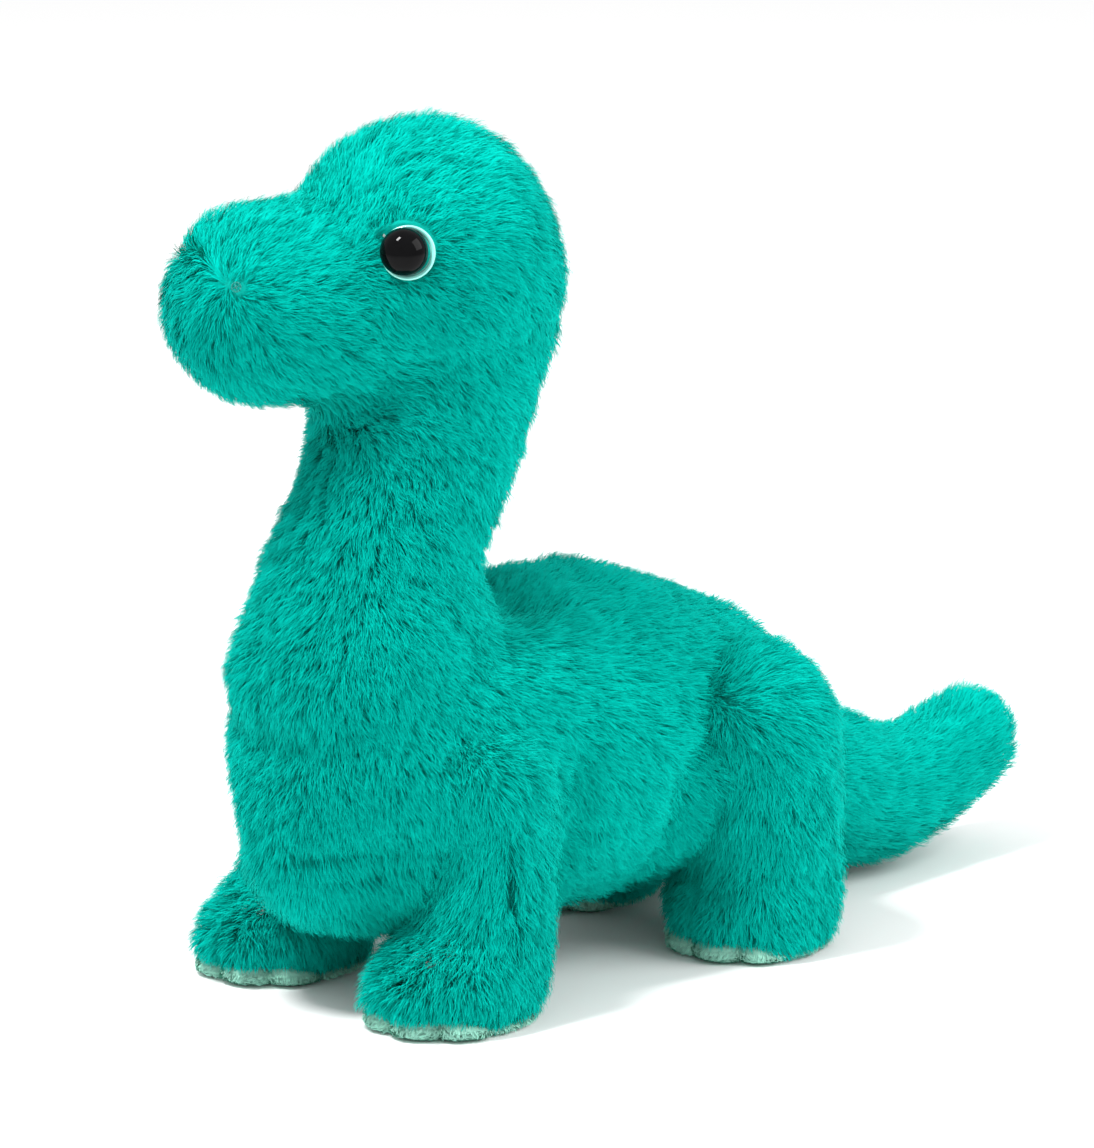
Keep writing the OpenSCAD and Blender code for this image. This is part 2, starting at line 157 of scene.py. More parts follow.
class PlushPadding(bpy.types.PropertyGroup):
    """The padded skins under the pile"""

    backing_depth: bpy.props.FloatProperty(
        name="Backing Depth", description="Depth of the fabric's backing under the pile's surface",
        default=0.0042, unit="LENGTH")
    mesh_size: bpy.props.FloatProperty(
        name="Mesh Size", description="Size of the faces that the padding puffs with",
        default=0.0028, unit="LENGTH")
    swell: bpy.props.FloatProperty(
        name="Swell", description="The most that the stuffing pushes the fabric out between seams",
        default=0.0018, unit="LENGTH")
    fabric: bpy.props.FloatProperty(
        name="Fabric", description="Thickness of the backing over the stuffing",
        default=0.0032, unit="LENGTH")
    seam_depth: bpy.props.FloatProperty(
        name="Seam Depth", description="Depth of the valley along a seam", default=0.0007, unit="LENGTH")


class PlushTrim(bpy.types.PropertyGroup):
    """Eyes, nostrils and soles"""

    eye_width: bpy.props.FloatProperty(
        name="Eye Width", description="Diameter of an eye's black dome", default=0.0122, unit="LENGTH")
    rim_width: bpy.props.FloatProperty(
        name="Rim Width", description="Diameter of the pale rim behind the dome",
        default=0.0138, unit="LENGTH")
    rim_colour: bpy.props.FloatVectorProperty(
        name="Rim Colour", description="Colour of the rim", subtype="COLOR", default=(0.3, 0.85, 0.75))
    sole_colour: bpy.props.FloatVectorProperty(
        name="Sole Colour", description="Colour of the soles' plush", subtype="COLOR",
        default=(0.36, 0.78, 0.63))
    thread_colour: bpy.props.FloatVectorProperty(
        name="Thread Colour", description="Colour of the nostrils' thread", subtype="COLOR",
        default=(0.0, 0.2, 0.17))


class PlushStage(bpy.types.PropertyGroup):
    """Camera, floor and lights"""

    azimuth: bpy.props.FloatProperty(
        name="Azimuth", description="Where the camera stands round the toy",
        default=math.radians(48), subtype="ANGLE")
    elevation: bpy.props.FloatProperty(
        name="Elevation", description="How far the camera looks down",
        default=math.radians(14.0), subtype="ANGLE")
    distance: bpy.props.FloatProperty(
        name="Distance", description="From the camera to what it aims at", default=2.5, unit="LENGTH")
    lens: bpy.props.FloatProperty(name="Lens", description="Focal length in millimetres", default=304.1)
    aim: bpy.props.FloatVectorProperty(
        name="Aim", description="The point that the camera aims at", subtype="TRANSLATION",
        default=(0.0, -0.0261, 0.1001))
    floor_colour: bpy.props.FloatVectorProperty(
        name="Floor Colour", description="Colour of the floor", subtype="COLOR", default=(0.94, 0.94, 0.94))


# ---------------------------------------------------------------- finishes


class Value:
    """A node's output that Python's operators work on."""

    def __init__(self, finish, socket):
        self.finish = finish
        self.socket = socket

    def _with(self, operation, a, b):
        return self.finish.node("ShaderNodeMath", {"operation": operation}, {0: a, 1: b})

    def __add__(self, other):
        return self._with("ADD", self, other)

    def __mul__(self, other):
        return self._with("MULTIPLY", self, other)

    __radd__ = __add__
    __rmul__ = __mul__


class Finish:
    """One material: a Principled shader and the nodes that feed it."""

    def __init__(self, name, **plain):
        self.material = bpy.data.materials.new(name)
        self.material.use_nodes = True
        self.tree = self.material.node_tree
        self.shader = next(n for n in self.tree.nodes if n.type == "BSDF_PRINCIPLED")
        self.feed(self.shader, {key.replace("_", " ").title(): value for key, value in plain.items()})
        colour = self.shader.inputs["Base Color"].default_value
        self.material.diffuse_color = tuple(colour)

    def feed(self, node, inputs):
        for key, value in inputs.items():
            socket = node.inputs[key]
            if isinstance(value, Value):
                self.tree.links.new(value.socket, socket)
            elif socket.type == "RGBA":
                socket.default_value = (*tuple(value)[:3], 1)
            else:
                socket.default_value = value

    def node(self, kind, settings=None, inputs=None, output=0):
        node = self.tree.nodes.new(kind)
        for key, value in (settings or {}).items():
            setattr(node, key, value)
        self.feed(node, inputs or {})
        return Value(self, node.outputs[output])

    def mix(self, factor, a, b):
        return self.node("ShaderNodeMix", {"data_type": "RGBA"}, {"Factor": factor, 6: a, 7: b}, 2)

    def noise(self, scale, detail=3.0, where=None):
        inputs = {"Scale": scale, "Detail": detail}
        if where is not None:
            inputs["Vector"] = where
        return self.node("ShaderNodeTexNoise", {}, inputs)

    def place(self):
        return self.node("ShaderNodeTexCoord", {}, {}, "Object")

    def bump(self, height, strength, distance):
        self.feed(self.shader, {"Normal": self.node(
            "ShaderNodeBump", {}, {"Height": height, "Strength": strength, "Distance": distance})})

    def show(self, **linked):
        self.feed(self.shader, {key.replace("_", " ").title(): value for key, value in linked.items()})
        return self.material


def scaled(colour, k):
    return tuple(min(1.0, c * k) for c in colour)


def pile_finishes(name, levels, tones):
    """Plain fibre finishes, from root to tip for each tone, as a list in slot order; the darker root and middle
    levels are painted shade deep in the pile.
    """
    made = []
    for tone, k in enumerate(tones):
        for level, colour in levels:
            finish = Finish(f"{name}_{level}_{tone}", base_color=scaled(colour, k), roughness=0.95)
            finish.feed(finish.shader, {"Specular IOR Level": 0.12, "Specular Tint": scaled(colour, 1.6)})
            made.append(finish.material)
    return made


def backing_finish(name, dark, light):
    f = Finish(name, roughness=0.95)
    place = f.place()
    weave = f.noise(1400.0, 2.0, place)
    patches = f.noise(160.0, 3.0, place)
    f.feed(f.shader, {"Specular IOR Level": 0.1})
    f.bump(weave, 0.5, 0.0003)
    return f.show(base_color=f.mix(patches * 0.7 + weave * 0.3, dark, light))


def fibre_finish():
    f = Finish("stuffing_fibre", roughness=0.9)
    place = f.place()
    loft = f.noise(420.0, 6.0, place)
    f.bump(loft, 0.8, 0.001)
    return f.show(base_color=f.mix(loft, (0.78, 0.79, 0.77), (0.95, 0.95, 0.93)))


def washer_finish():
    f = Finish("washer_plastic", roughness=0.45)
    grain = f.noise(900.0, 4.0, f.place())
    f.bump(grain, 0.15, 0.0002)
    return f.show(
        base_color=f.mix(grain, (0.72, 0.72, 0.69), (0.86, 0.86, 0.83)), roughness=grain * 0.2 + 0.35)


def eye_finish():
    f = Finish("eye_black_plastic", roughness=0.04)
    f.feed(f.shader, {"Specular IOR Level": 0.09})
    haze = f.noise(350.0, 2.0, f.place())
    return f.show(
        base_color=f.mix(haze, (0.001, 0.001, 0.0012), (0.003, 0.003, 0.0035)), roughness=haze * 0.03 + 0.03)


def rim_finish(colour):
    f = Finish("eye_rim_plastic", roughness=0.2, coat_weight=0.6)
    cloud = f.noise(500.0, 3.0, f.place())
    return f.show(base_color=f.mix(cloud, scaled(colour, 0.85), scaled(colour, 1.15)))


def thread_finish(colour):
    f = Finish("nostril_thread", roughness=0.7)
    twist = f.node("ShaderNodeTexWave", {}, {"Vector": f.place(), "Scale": 900.0, "Distortion": 2.0}, "Fac")
    f.bump(twist, 0.6, 0.0001)
    return f.show(base_color=f.mix(twist, scaled(colour, 0.6), scaled(colour, 1.5)))


def floor_finish(colour):
    f = Finish("pale_floor", roughness=0.9)
    f.feed(f.shader, {"Specular IOR Level": 0.0})
    return f.show(base_color=f.mix(f.noise(3.0, 1.0, f.place()), colour, scaled(colour, 0.995)))


FINISHES = {}


def finish_of(name, make, *values):
    if name not in FINISHES:
        FINISHES[name] = make(*values)
    return FINISHES[name]


# ---------------------------------------------------------------- mesh work


def in_scene(name, data):
    """A new object that holds the data, put in the scene."""
    made = bpy.data.objects.new(name, data)
    bpy.context.scene.collection.objects.link(made)
    return made


def new_piece(name, points, faces, materials, smooth=True):
    mesh = bpy.data.meshes.new(name)
    mesh.from_pydata([tuple(p) for p in points], [], faces)
    for material in materials:
        mesh.materials.append(material)
    mesh.polygons.foreach_set("use_smooth", [smooth] * len(mesh.polygons))
    mesh.update()
    return in_scene(name, mesh)


def read(items, key, width=3, kind=np.float32):
    """One attribute of all the items, a row for each."""
    flat = np.zeros(len(items) * width, kind)
    items.foreach_get(key, flat)
    return flat.reshape(-1, width)


def points_of(mesh):
    return read(mesh.vertices, "co").astype(float)


def normals_of(mesh):
    return read(mesh.vertex_normals, "vector").astype(float)


def edges_of(mesh):
    return read(mesh.edges, "vertices", 2, np.int32)


def box_middle(points):
    return (points.min(0) + points.max(0)) / 2


def wall(rings, around):
    """Faces between rings of points, each ring joined to the next."""
    return [(k * around + j, k * around + (j + 1) % around, (k + 1) * around + (j + 1) % around,
             (k + 1) * around + j) for k in range(rings - 1) for j in range(around)]


def set_points(mesh, points):
    mesh.vertices.foreach_set("co", np.asarray(points, np.float32).ravel())
    mesh.update()


def neighbour_mean(points, edges):
    """The middle of each point's neighbours."""
    count = np.maximum(np.bincount(edges.ravel(), minlength=len(points)), 1)[:, None]
    total = np.zeros_like(points)
    for axis in range(3):
        total[:, axis] = (
            np.bincount(edges[:, 0], points[edges[:, 1], axis], len(points))
            + np.bincount(edges[:, 1], points[edges[:, 0], axis], len(points)))
    return total / count


def relaxed(mesh, points, rounds):
    """The points evened out without shrinking."""
    edges = edges_of(mesh)
    for _ in range(rounds):
        for step in (0.5, -0.51):
            points = points + step * (neighbour_mean(points, edges) - points)
    return points


def both_sides(points):
    """The points with those of the toy's right side brought over to its left."""
    return np.abs(points * [1, 0, 0]) + points * [0, 1, 1]


def touched(points, normals):
    """The points with the form's small fillings and hollows, the same on both sides."""
    depth = np.zeros(len(points))
    for x, y, z, reach, push in TOUCHES:
        apart = np.linalg.norm(both_sides(points) - np.array([x, y - MID_Y, z]) * MM, axis=1)
        depth += push * np.exp(-1.5 * (apart / (reach * MM)) ** 2)
    return points + normals * (depth * MM)[:, None]


def crease(points, width):
    """How near each point is to a fold, from 0 to 1, for a fold of this width in mm."""
    p = both_sides(points)
    near = np.zeros(len(points))
    for start, end in CREASES:
        a, b = (np.array([x, y - MID_Y, z]) * MM for x, y, z in (start, end))
        along = np.clip(((p - a) @ (b - a)) / ((b - a) @ (b - a)), 0, 1)[:, None]
        apart = np.linalg.norm(p - a - along * (b - a), axis=1) / MM
        near = np.maximum(near, np.exp(-(apart / width) ** 2))
    return near


def melted(mesh, points, rounds, share):
    """The points evened out where share is high, filling the valleys there."""
    edges = edges_of(mesh)
    for _ in range(rounds):
        points = points + 0.5 * share[:, None] * (neighbour_mean(points, edges) - points)
    return points


def applied(piece):
    """The piece with its modifiers made real."""
    graph = bpy.context.evaluated_depsgraph_get()
    mesh = bpy.data.meshes.new_from_object(piece.evaluated_get(graph))
    piece.modifiers.clear()
    piece.data = mesh
    return piece


def keep_largest(mesh):
    form = bmesh.new()
    form.from_mesh(mesh)
    form.verts.ensure_lookup_table()
    seen, best = set(), []
    for start in form.verts:
        if start.index in seen:
            continue
        group, todo = [], [start]
        seen.add(start.index)
        while todo:
            v = todo.pop()
            group.append(v)
            for e in v.link_edges:
                w = e.other_vert(v)
                if w.index not in seen:
                    seen.add(w.index)
                    todo.append(w)
        if len(group) > len(best):
            best = group
    kept = set(v.index for v in best)
    bmesh.ops.delete(form, geom=[v for v in form.verts if v.index not in kept], context="VERTS")
    form.to_mesh(mesh)
    form.free()
    mesh.update()


def spline_rows(rows, steps):
    """Rows of numbers with a smooth curve through them."""
    rows = np.asarray(rows, float)
    last = len(rows) - 1
    made = []
    for i in range(last):
        p0, p1, p2, p3 = rows[max(i - 1, 0)], rows[i], rows[i + 1], rows[min(i + 2, last)]
        for k in range(steps):
            t = k / steps
            made.append(0.5 * (2 * p1 + (p2 - p0) * t + (2 * p0 - 5 * p1 + 4 * p2 - p3) * t * t
                               + (3 * p1 - 3 * p2 + p3 - p0) * t ** 3))
    return np.array(made + [rows[last]])


def tube_of_stations(rows, around=48):
    """Points and faces of a closed padded tube.

    A station is top y, top z, bottom y, bottom z, half width and centre x.
    """
    rows = spline_rows(rows, 3)
    angle = np.linspace(0, 2 * math.pi, around, endpoint=False)
    rings = [np.stack([
        s[5] + s[4] * np.cos(angle),
        (s[0] + s[2]) / 2 + (s[0] - s[2]) / 2 * np.sin(angle),
        (s[1] + s[3]) / 2 + (s[1] - s[3]) / 2 * np.sin(angle)], 1) for s in rows]
    points = np.concatenate(rings)
    faces = wall(len(rows), around)
    faces.append(tuple(reversed(range(around))))
    faces.append(tuple((len(rows) - 1) * around + j for j in range(around)))
    return on_toy(points), faces


def ball_form(middle, radii):
    form = bmesh.new()
    bmesh.ops.create_icosphere(form, subdivisions=4, radius=1.0)
    points = np.array([v.co for v in form.verts]) * radii
    faces = [[v.index for v in f.verts] for f in form.faces]
    form.free()
    return points + middle, faces


def united(name, forms, nodes, voxel):
    """One closed skin round all the forms and CAD nodes."""
    points, faces = [], []
    for p, f in forms:
        start = sum(len(q) for q in points)
        points.append(np.asarray(p, float))
        faces += [[i + start for i in face] for face in f]
    for node in nodes:
        mesh = frame["nodes"][node].data
        start = sum(len(q) for q in points)
        form = points_of(mesh)
        if node.endswith("leg_stuffing"):
            middle = box_middle(form)
            form = middle + (form - middle) * LEG_STUFFING_SWELL
        points.append(form)
        faces += [[i + start for i in face.vertices] for face in mesh.polygons]
    piece = new_piece(name, np.concatenate(points), faces, [])
    welder = piece.modifiers.new("weld", "WELD")
    welder.merge_threshold = 1e-6
    remesher = piece.modifiers.new("one_skin", "REMESH")
    remesher.mode = "VOXEL"
    remesher.voxel_size = voxel
    applied(piece)
    keep_largest(piece.data)
    return piece


# ---------------------------------------------------------------- the toy's fields


def waves(points, size, seed, count=7):
    """Smooth noise from about -1 to 1 over the points, with features of the size given."""
    rng = np.random.default_rng(seed)
    total = np.zeros(len(points))
    for _ in range(count):
        way = rng.normal(size=3)
        way /= np.linalg.norm(way)
        total += np.sin(points @ way * (2 * math.pi / size * rng.uniform(0.7, 1.4)) + rng.uniform(0, 6.28))
    return total / math.sqrt(count)


def unit(vectors):
    return vectors / np.maximum(np.linalg.norm(vectors, axis=1, keepdims=True), 1e-9)


def seam_half_width(z):
    """Half of the width of the throat and chest gusset at a height in mm."""
    return np.clip(14.3 + (140 - z) * 0.058, 14.3, 22.0)


def gusset_seam(points, normals):
    """Signed distance in mm from the throat and chest seam, and how much the seam shows, from 0 to 1."""
    p = along_toy(points)
    off = np.abs(p[:, 0]) - seam_half_width(p[:, 2])
    faces_out = (normals[:, 1] < -0.1) | (normals[:, 2] < -0.3)
    fade = 0.25 + 0.75 * np.clip((p[:, 2] - 58) / 30, 0, 1)
    return off, np.where(faces_out & (p[:, 2] < 150) & (p[:, 1] < 70), fade, 0.0)


def muzzle_seam(points):
    """Signed distance in mm from the muzzle's seam: positive on the muzzle."""
    q = to_head(points)
    top, low = np.array([-35.0, 20.0]), np.array([-20.0, -35.5])
    run = (low - top) / np.linalg.norm(low - top)
    way = np.array([run[1], -run[0]])
    way = way if way[0] < 0 else -way
    return (q[:, 1:] - top) @ way, p_on_head(points)


def p_on_head(points):
    return points[:, 2] > HEAD[2] + 0.003


def way_out(turn, lift):
    """The way that a turn from -Y and a lift from the level point."""
    return np.array([math.sin(turn) * math.cos(lift), -math.cos(turn) * math.cos(lift), math.sin(lift)])


def eye_axis(side):
    """An eye's seat on the skin and the way that it faces."""
    x, y, z = EYE_PLACE
    return from_head([[x * side, y, z]])[0], HEAD_TURN @ way_out(EYE_TURN * side, EYE_TILT)


def nostril_axis(side):
    """A nostril's place on the muzzle and the way that it faces."""
    way = way_out(NOSTRIL_TURN * side, NOSTRIL_LIFT)
    return from_head([np.array(MUZZLE_MIDDLE) + way * MUZZLE_RADIUS])[0], HEAD_TURN @ way


# How the pile lies: places along the toy in mm and the way that it is combed there, left side only
BODY_COMB = [
    (0, -22, 100, 0, 1, -0.2), (0, 5, 100, 0, 1, -0.1), (0, 30, 98, 0, 1, -0.15),
    (0, 55, 88, 0, 1, -0.4), (0, 80, 68, 0, 1, -0.7), (25, 0, 96, 0.2, 1, -0.25),
    (25, 45, 85, 0.2, 1, -0.5), (40, -45, 82, 0.05, 0.45, -1), (43, -15, 80, 0, 0.75, -0.7),
    (43, 10, 72, 0, 0.8, -0.6), (43, 35, 70, 0, 0.9, -0.5), (42, -10, 50, 0, 0.6, -0.8),
    (42, 15, 42, 0, 0.7, -0.7), (36, 70, 55, 0, 0.9, -0.6), (30, 60, 80, 0.1, 0.9, -0.5),
    (0, -87, 62, 0, 0, -1), (8, -80, 90, 0.1, 0, -1), (24, -78, 72, 0.5, 0.15, -1),
    (22, -80, 55, 0.3, 0.1, -1), (0, -78, 40, 0, 0.4, -1), (0, -55, 25, 0, 1, -0.3),
    (0, -10, 20, 0, 1, 0), (0, 45, 17, 0, 1, 0), (0, -75, 105, 0, 0, -1),
    (26, -50, 102, 0.15, 0.45, -1), (0, -66, 132, 0, -0.05, -1), (26, -40, 130, 0.05, 0.3, -1),
    (0, -14, 138, 0, 0.3, -1), (0, -20, 115, 0, 0.5, -1), (22, -22, 112, 0.2, 0.7, -0.9),
    (0, 102, 45, 0, 0.9, -0.4), (18, 100, 28, 0.05, 0.95, -0.35), (0, 120, 38, 0, 1, -0.15),
    (18, 122, 21, 0, 1, 0), (0, 122, 4, 0, 1, 0), (15, 145, 23, 0, 0.95, 0.3),
    (0, 148, 38, 0, 0.95, 0.3), (0, 165, 30, 0, 0.8, 0.6), (0, 158, 14, 0, 0.95, 0.2),
]
# The same in the head's own frame
HEAD_COMB = [
    (0, -70, -2, 0, -0.4, -1), (10, -60, 14, 0.3, 1, 0.4), (26, -46, -8, 0.1, 1, -0.1),
    (0, -46, -34, 0, 1, 0), (0, -64, -24, 0, 0.2, -1), (22, -50, -24, 0.3, 0.7, -0.7),
    (0, -50, 18, 0, 1, 0.2), (14, -38, 20, 0.2, 1, 0.7), (0, -30, 25, 0, 0.7, 0.8),
    (0, -18, 33, 0, 1, 0.4), (0, 2, 36, 0, 1, 0), (0, 24, 26, 0, 0.8, -0.8), (30, -30, 0, 0, 1, -0.15),
    (33, -12, 22, 0, 1, 0.35), (22, 0, 30, 0.1, 1, -0.2), (35, 0, 8, 0, 1, -0.25),
    (33, -10, -8, 0, 0.9, -0.5), (30, 15, -5, 0, 0.6, -0.9), (0, 35, 2, 0, 0.1, -1),
    (22, 26, 8, 0, 0.5, -1), (27, -20, -26, 0.05, 1, -0.35), (26, 0, -27, 0, 0.6, -0.9),
    (0, -20, -36, 0, 1, 0), (0, 30, -20, 0, 0, -1),
]


def guides():
    body = np.array(BODY_COMB, float)
    head = np.array(HEAD_COMB, float)
    sides = [body, head]
    for i, rows in enumerate(sides):
        other = rows[rows[:, 0] > 0].copy()
        other[:, [0, 3]] *= -1
        sides[i] = np.concatenate([rows, other])
    places = np.concatenate([on_toy(sides[0][:, :3]), from_head(sides[1][:, :3])])
    ways = np.concatenate([sides[0][:, 3:], sides[1][:, 3:] @ HEAD_TURN.T])
    return places, unit(ways)


GUIDE_AT, GUIDE_WAY = guides()


def comb_trunk(points, normals):
    """The way that the pile is combed at each point of the torso, neck, head or tail."""
    way = np.zeros_like(points)
    for start in range(0, len(points), GUIDE_CHUNK):
        part = points[start:start + GUIDE_CHUNK]
        apart = ((part[:, None, :] - GUIDE_AT[None]) ** 2).sum(2)
        weight = 1 / (apart + (7 * MM) ** 2) ** 2.2
        way[start:start + GUIDE_CHUNK] = (weight @ GUIDE_WAY) / weight.sum(1, keepdims=True)
    way = unit(way)
    off, counts = gusset_seam(points, normals)
    pull = counts * np.exp(-np.abs(off) / 7.0) * np.sign(off) * np.sign(points[:, 0])
    way[:, 0] += 0.25 * pull
    for side in (1, -1):
        for (middle, _), reach, strength in ((eye_axis(side), 5.0, 2.2), (nostril_axis(side), 9.0, 2.2)):
            away = points - middle
            apart = np.linalg.norm(away, axis=1, keepdims=True) / MM
            start = 6.5 if reach < 6 else 0.0
            fade = np.exp(-np.maximum(apart - start, 0) / reach)
            way += strength * fade * away / np.maximum(apart * MM, 1e-6)
    return way


def comb_leg(points, normals, leg):
    """Down the leg, and out over the foot."""
    middle = joint_at(leg + "_leg_swing")
    out = points - middle
    out[:, 2] = 0
    z = points[:, 2] / MM
    spread = np.clip((16 - z) / 12, 0, 1)[:, None]
    way = np.tile([0.0, 0.12, -1.0], (len(points), 1)) + 0.8 * spread * unit(out)
    own = np.clip((middle[2] + 16 * MM - points[:, 2]) / (30 * MM), 0, 1)[:, None]
    return unit(comb_trunk(points, normals)) * (1 - own) + unit(way) * own


def tangent(way, normals):
    way = way - (way * normals).sum(1, keepdims=True) * normals
    return unit(way)


# ---------------------------------------------------------------- pile


def sampled(mesh, count, rng, share):
    """Places spread over a mesh, with the smooth normals there. share weighs each face."""
    mesh.calc_loop_triangles()
    tri = read(mesh.loop_triangles, "vertices", 3, np.int32)
    owner = read(mesh.loop_triangles, "polygon_index", 1, np.int32)[:, 0]
    p, n = points_of(mesh), normals_of(mesh)
    a, b, c = p[tri[:, 0]], p[tri[:, 1]], p[tri[:, 2]]
    area = np.linalg.norm(np.cross(b - a, c - a), axis=1) / 2 * share[owner]
    total = area.sum()
    count = int(count * total / MM ** 2)
    pick = np.searchsorted(np.cumsum(area) / total, rng.random(count))
    pick = np.minimum(pick, len(tri) - 1)
    u, v = rng.random(count), rng.random(count)
    over = u + v > 1
    u[over], v[over] = 1 - u[over], 1 - v[over]
    w = np.stack([1 - u - v, u, v], 1)[:, :, None]
    return (p[tri[pick]] * w).sum(1), unit((n[tri[pick]] * w).sum(1))


def tufts(points, size, seed):
    """Which tuft each root belongs to, as numbers from nought up."""
    warp = np.stack([waves(points, size * 3.1, seed + i) for i in range(3)], 1)
    cells = np.floor((points + warp * size * 0.45) / size).astype(np.int64)
    key = (cells[:, 0] * 73856093) ^ (cells[:, 1] * 19349663) ^ (cells[:, 2] * 83492791)
    return np.unique(key, return_inverse=True)[1]


def mean_by(group, values):
    count = np.maximum(np.bincount(group), 1)[:, None]
    total = np.stack([np.bincount(group, values[:, i]) for i in range(values.shape[1])], 1)
    return (total / count)[group]


STATIONS = np.array([0.0, 0.42, 0.76, 1.0])


def pile_piece(
        name, roots, normals, way, length, lift, materials, tones, seed, settings, tuft=None, width=None):
    """A coat of fibre locks: each is a narrow blade that leaves the backing, bends over and tapers away."""
    rng = np.random.default_rng(seed)
    count = len(roots)
    tuft = settings.tuft if tuft is None else tuft
    width = settings.fibre_width if width is None else width
    small = tufts(roots, tuft, seed)
    large = tufts(roots, tuft * 2.7, seed + 50)
    small_luck = rng.random((small.max() + 1, 4))[small]
    large_luck = rng.random((large.max() + 1, 4))[large]
    side = np.cross(normals, way)
    sway = (small_luck[:, 0] - 0.5) * 0.6 + (large_luck[:, 0] - 0.5) * 0.5 + rng.normal(0, 0.27, count)
    way = tangent(way + side * sway[:, None], normals)
    side = np.cross(normals, way)
    length = (length * (0.87 + 0.16 * small_luck[:, 1] + 0.12 * large_luck[:, 1])
              * rng.uniform(0.76, 1.08, count))
    lift = (lift * (0.78 + 0.28 * small_luck[:, 2] + 0.18 * large_luck[:, 2])
            * rng.uniform(0.72, 1.28, count))
    up = length * np.sin(lift)
    on = length * np.cos(lift)
    bend = rng.normal(0, 0.07, count) * length
    spine = []
    for s in STATIONS:
        spine.append(
            roots + way * (on * s ** 1.25)[:, None] + normals * (up * (1 - (1 - s) ** 2.1))[:, None]
            + side * (bend * s * s)[:, None])
    tip = mean_by(small, spine[3])
    for i, s in enumerate(STATIONS):
        pull = settings.gather * s ** 1.6
        shift = (tip - spine[3]) * pull
        reach = np.linalg.norm(shift, axis=1, keepdims=True)
        spine[i] = spine[i] + shift * np.minimum(1, 0.35 * length[:, None] / np.maximum(reach, 1e-9))
    lean = rng.uniform(-1.0, 1.0, count)
    across = -unit(side * np.cos(lean)[:, None] + normals * np.sin(lean)[:, None])
    half = 0.5 * width * rng.uniform(0.75, 1.25, count)[:, None]
    blades = np.stack([
        spine[0] - across * half, spine[0] + across * half,
        spine[1] - across * half * 0.95, spine[1] + across * half * 0.95,
        spine[2] - across * half * 0.62, spine[2] + across * half * 0.62,
        spine[3]], 1)
    blades[:, :, 2] = np.maximum(blades[:, :, 2], FLOOR_GAP)
    tilt = rng.normal(0, 0.06, count)[:, None]
    shade = []
    for s in (0.0, 0.0, 0.42, 0.42, 0.76, 0.76, 1.0):
        shade.append(unit(normals + way * (0.16 * (s - 0.35)) + side * tilt))
    shade = np.stack(shade, 1)
    luck = 0.45 * small_luck[:, 3] + 0.3 * large_luck[:, 3] + 0.25 * rng.random(count)
    tone = np.clip(((luck - 0.2) / 0.6 * tones).astype(int), 0, tones - 1)
    return blade_mesh(name, blades, shade, tone, materials)


def blade_mesh(name, blades, shade, tone, materials):
    count = len(blades)
    mesh = bpy.data.meshes.new(name)
    base = np.arange(count, dtype=np.int32)[:, None] * 7
    loops = base + np.array([0, 1, 3, 2, 2, 3, 5, 4, 4, 5, 6], np.int32)
    starts = np.arange(count, dtype=np.int32)[:, None] * 11 + np.array([0, 4, 8], np.int32)
    mesh.vertices.add(count * 7)
    mesh.vertices.foreach_set("co", blades.astype(np.float32).ravel())
    mesh.loops.add(count * 11)
    mesh.loops.foreach_set("vertex_index", loops.ravel())
    mesh.polygons.add(count * 3)
    mesh.polygons.foreach_set("loop_start", starts.ravel())
    # Root faces take their tone's darkest slot and tip faces its lightest: painted shade deep in the pile.
    slots = tone.astype(np.int32)[:, None] * 3 + np.array([0, 1, 2], np.int32)
    for material in materials:
        mesh.materials.append(material)
    mesh.polygons.foreach_set("material_index", slots.ravel())
    mesh.polygons.foreach_set("use_smooth", np.ones(count * 3, bool))
    mesh.update(calc_edges=True)
    mesh.normals_split_custom_set_from_vertices(shade.reshape(-1, 3))
    return in_scene(name, mesh)


def pile_slots(settings):
    # Darker at the roots and half way up: painted shade deep in the pile.
    levels = [
        ("root", settings.root_shade_colour), ("middle", settings.middle_shade_colour), ("tip", settings.tip_colour)]
    return finish_of("pile", pile_finishes, "pile", levels, (0.9, 0.97, 1.02, 1.06))


# ---------------------------------------------------------------- padded skins


TORSO_STATIONS = [
    (-24, 97, -77, 81, 27, 0), (-15, 99, -85, 69, 35, 0), (-6, 100, -89, 55, 39.5, 0),
    (3, 101, -89, 40, 41.5, 0), (11, 101, -83, 28, 42.5, 0), (18, 101, -67, 19, 43, 0),
    (25, 100.5, -42, 16, 43.5, 0), (35, 97, -8, 15, 43.5, 0), (50, 90, 26, 15, 42, 0),
    (68, 78.5, 51, 14.5, 37, 0), (82, 67, 66, 15, 29, 0), (94, 54, 77, 15, 20, 0),
]

# The neck and chest over the frame's own, so that the throat runs down to the chest in one line
NECK_STATIONS = [
    (-24, 84, -82, 70, 31, 0), (-21, 94, -87, 84, 33.5, 0), (-20, 103, -83, 100, 31.5, 0),
    (-22.5, 113, -78.5, 112, 28.5, 0), (-14.5, 131, -69.5, 130, 27.6, 0),
    (-8.5, 147, -62.5, 147, 27, 0), (-4, 160, -60, 156, 28, 0), (2, 172, -54, 166, 28, 0),
]

# Where the form is filled out or drawn in: places in mm, how far each touch reaches, and how deep it goes
TOUCHES = [
    (22, -7, 206, 22, -3.4), (0, -28, 228, 24, -1.0), (14, -14, 218, 18, -1.6),
    (17, -48, 216, 20, -2.8), (14, -66, 208, 18, -2.8), (20, -90, 198, 20, -3.0),
    (14, -72, 158, 24, 2.4), (22, -96, 166, 16, 0.6), (24, -4, 186, 16, -1.0), (20, -10, 170, 20, 2.2),
    (18, -25, 145, 20, 2.4), (10, -20, 107, 12, -9.0), (11, 66, 81, 17, 4.0), (20, 85, 66, 14, -3.8),
    (20, -80, 78, 20, 2.4), (32, -78, 40, 22, -9.5), (0, 113, 45, 18, 2.6), (0, 163, 39, 20, 3.2),
    (0, 172, 30, 16, 2.6), (0, 140, 8, 18, -1.2),
]

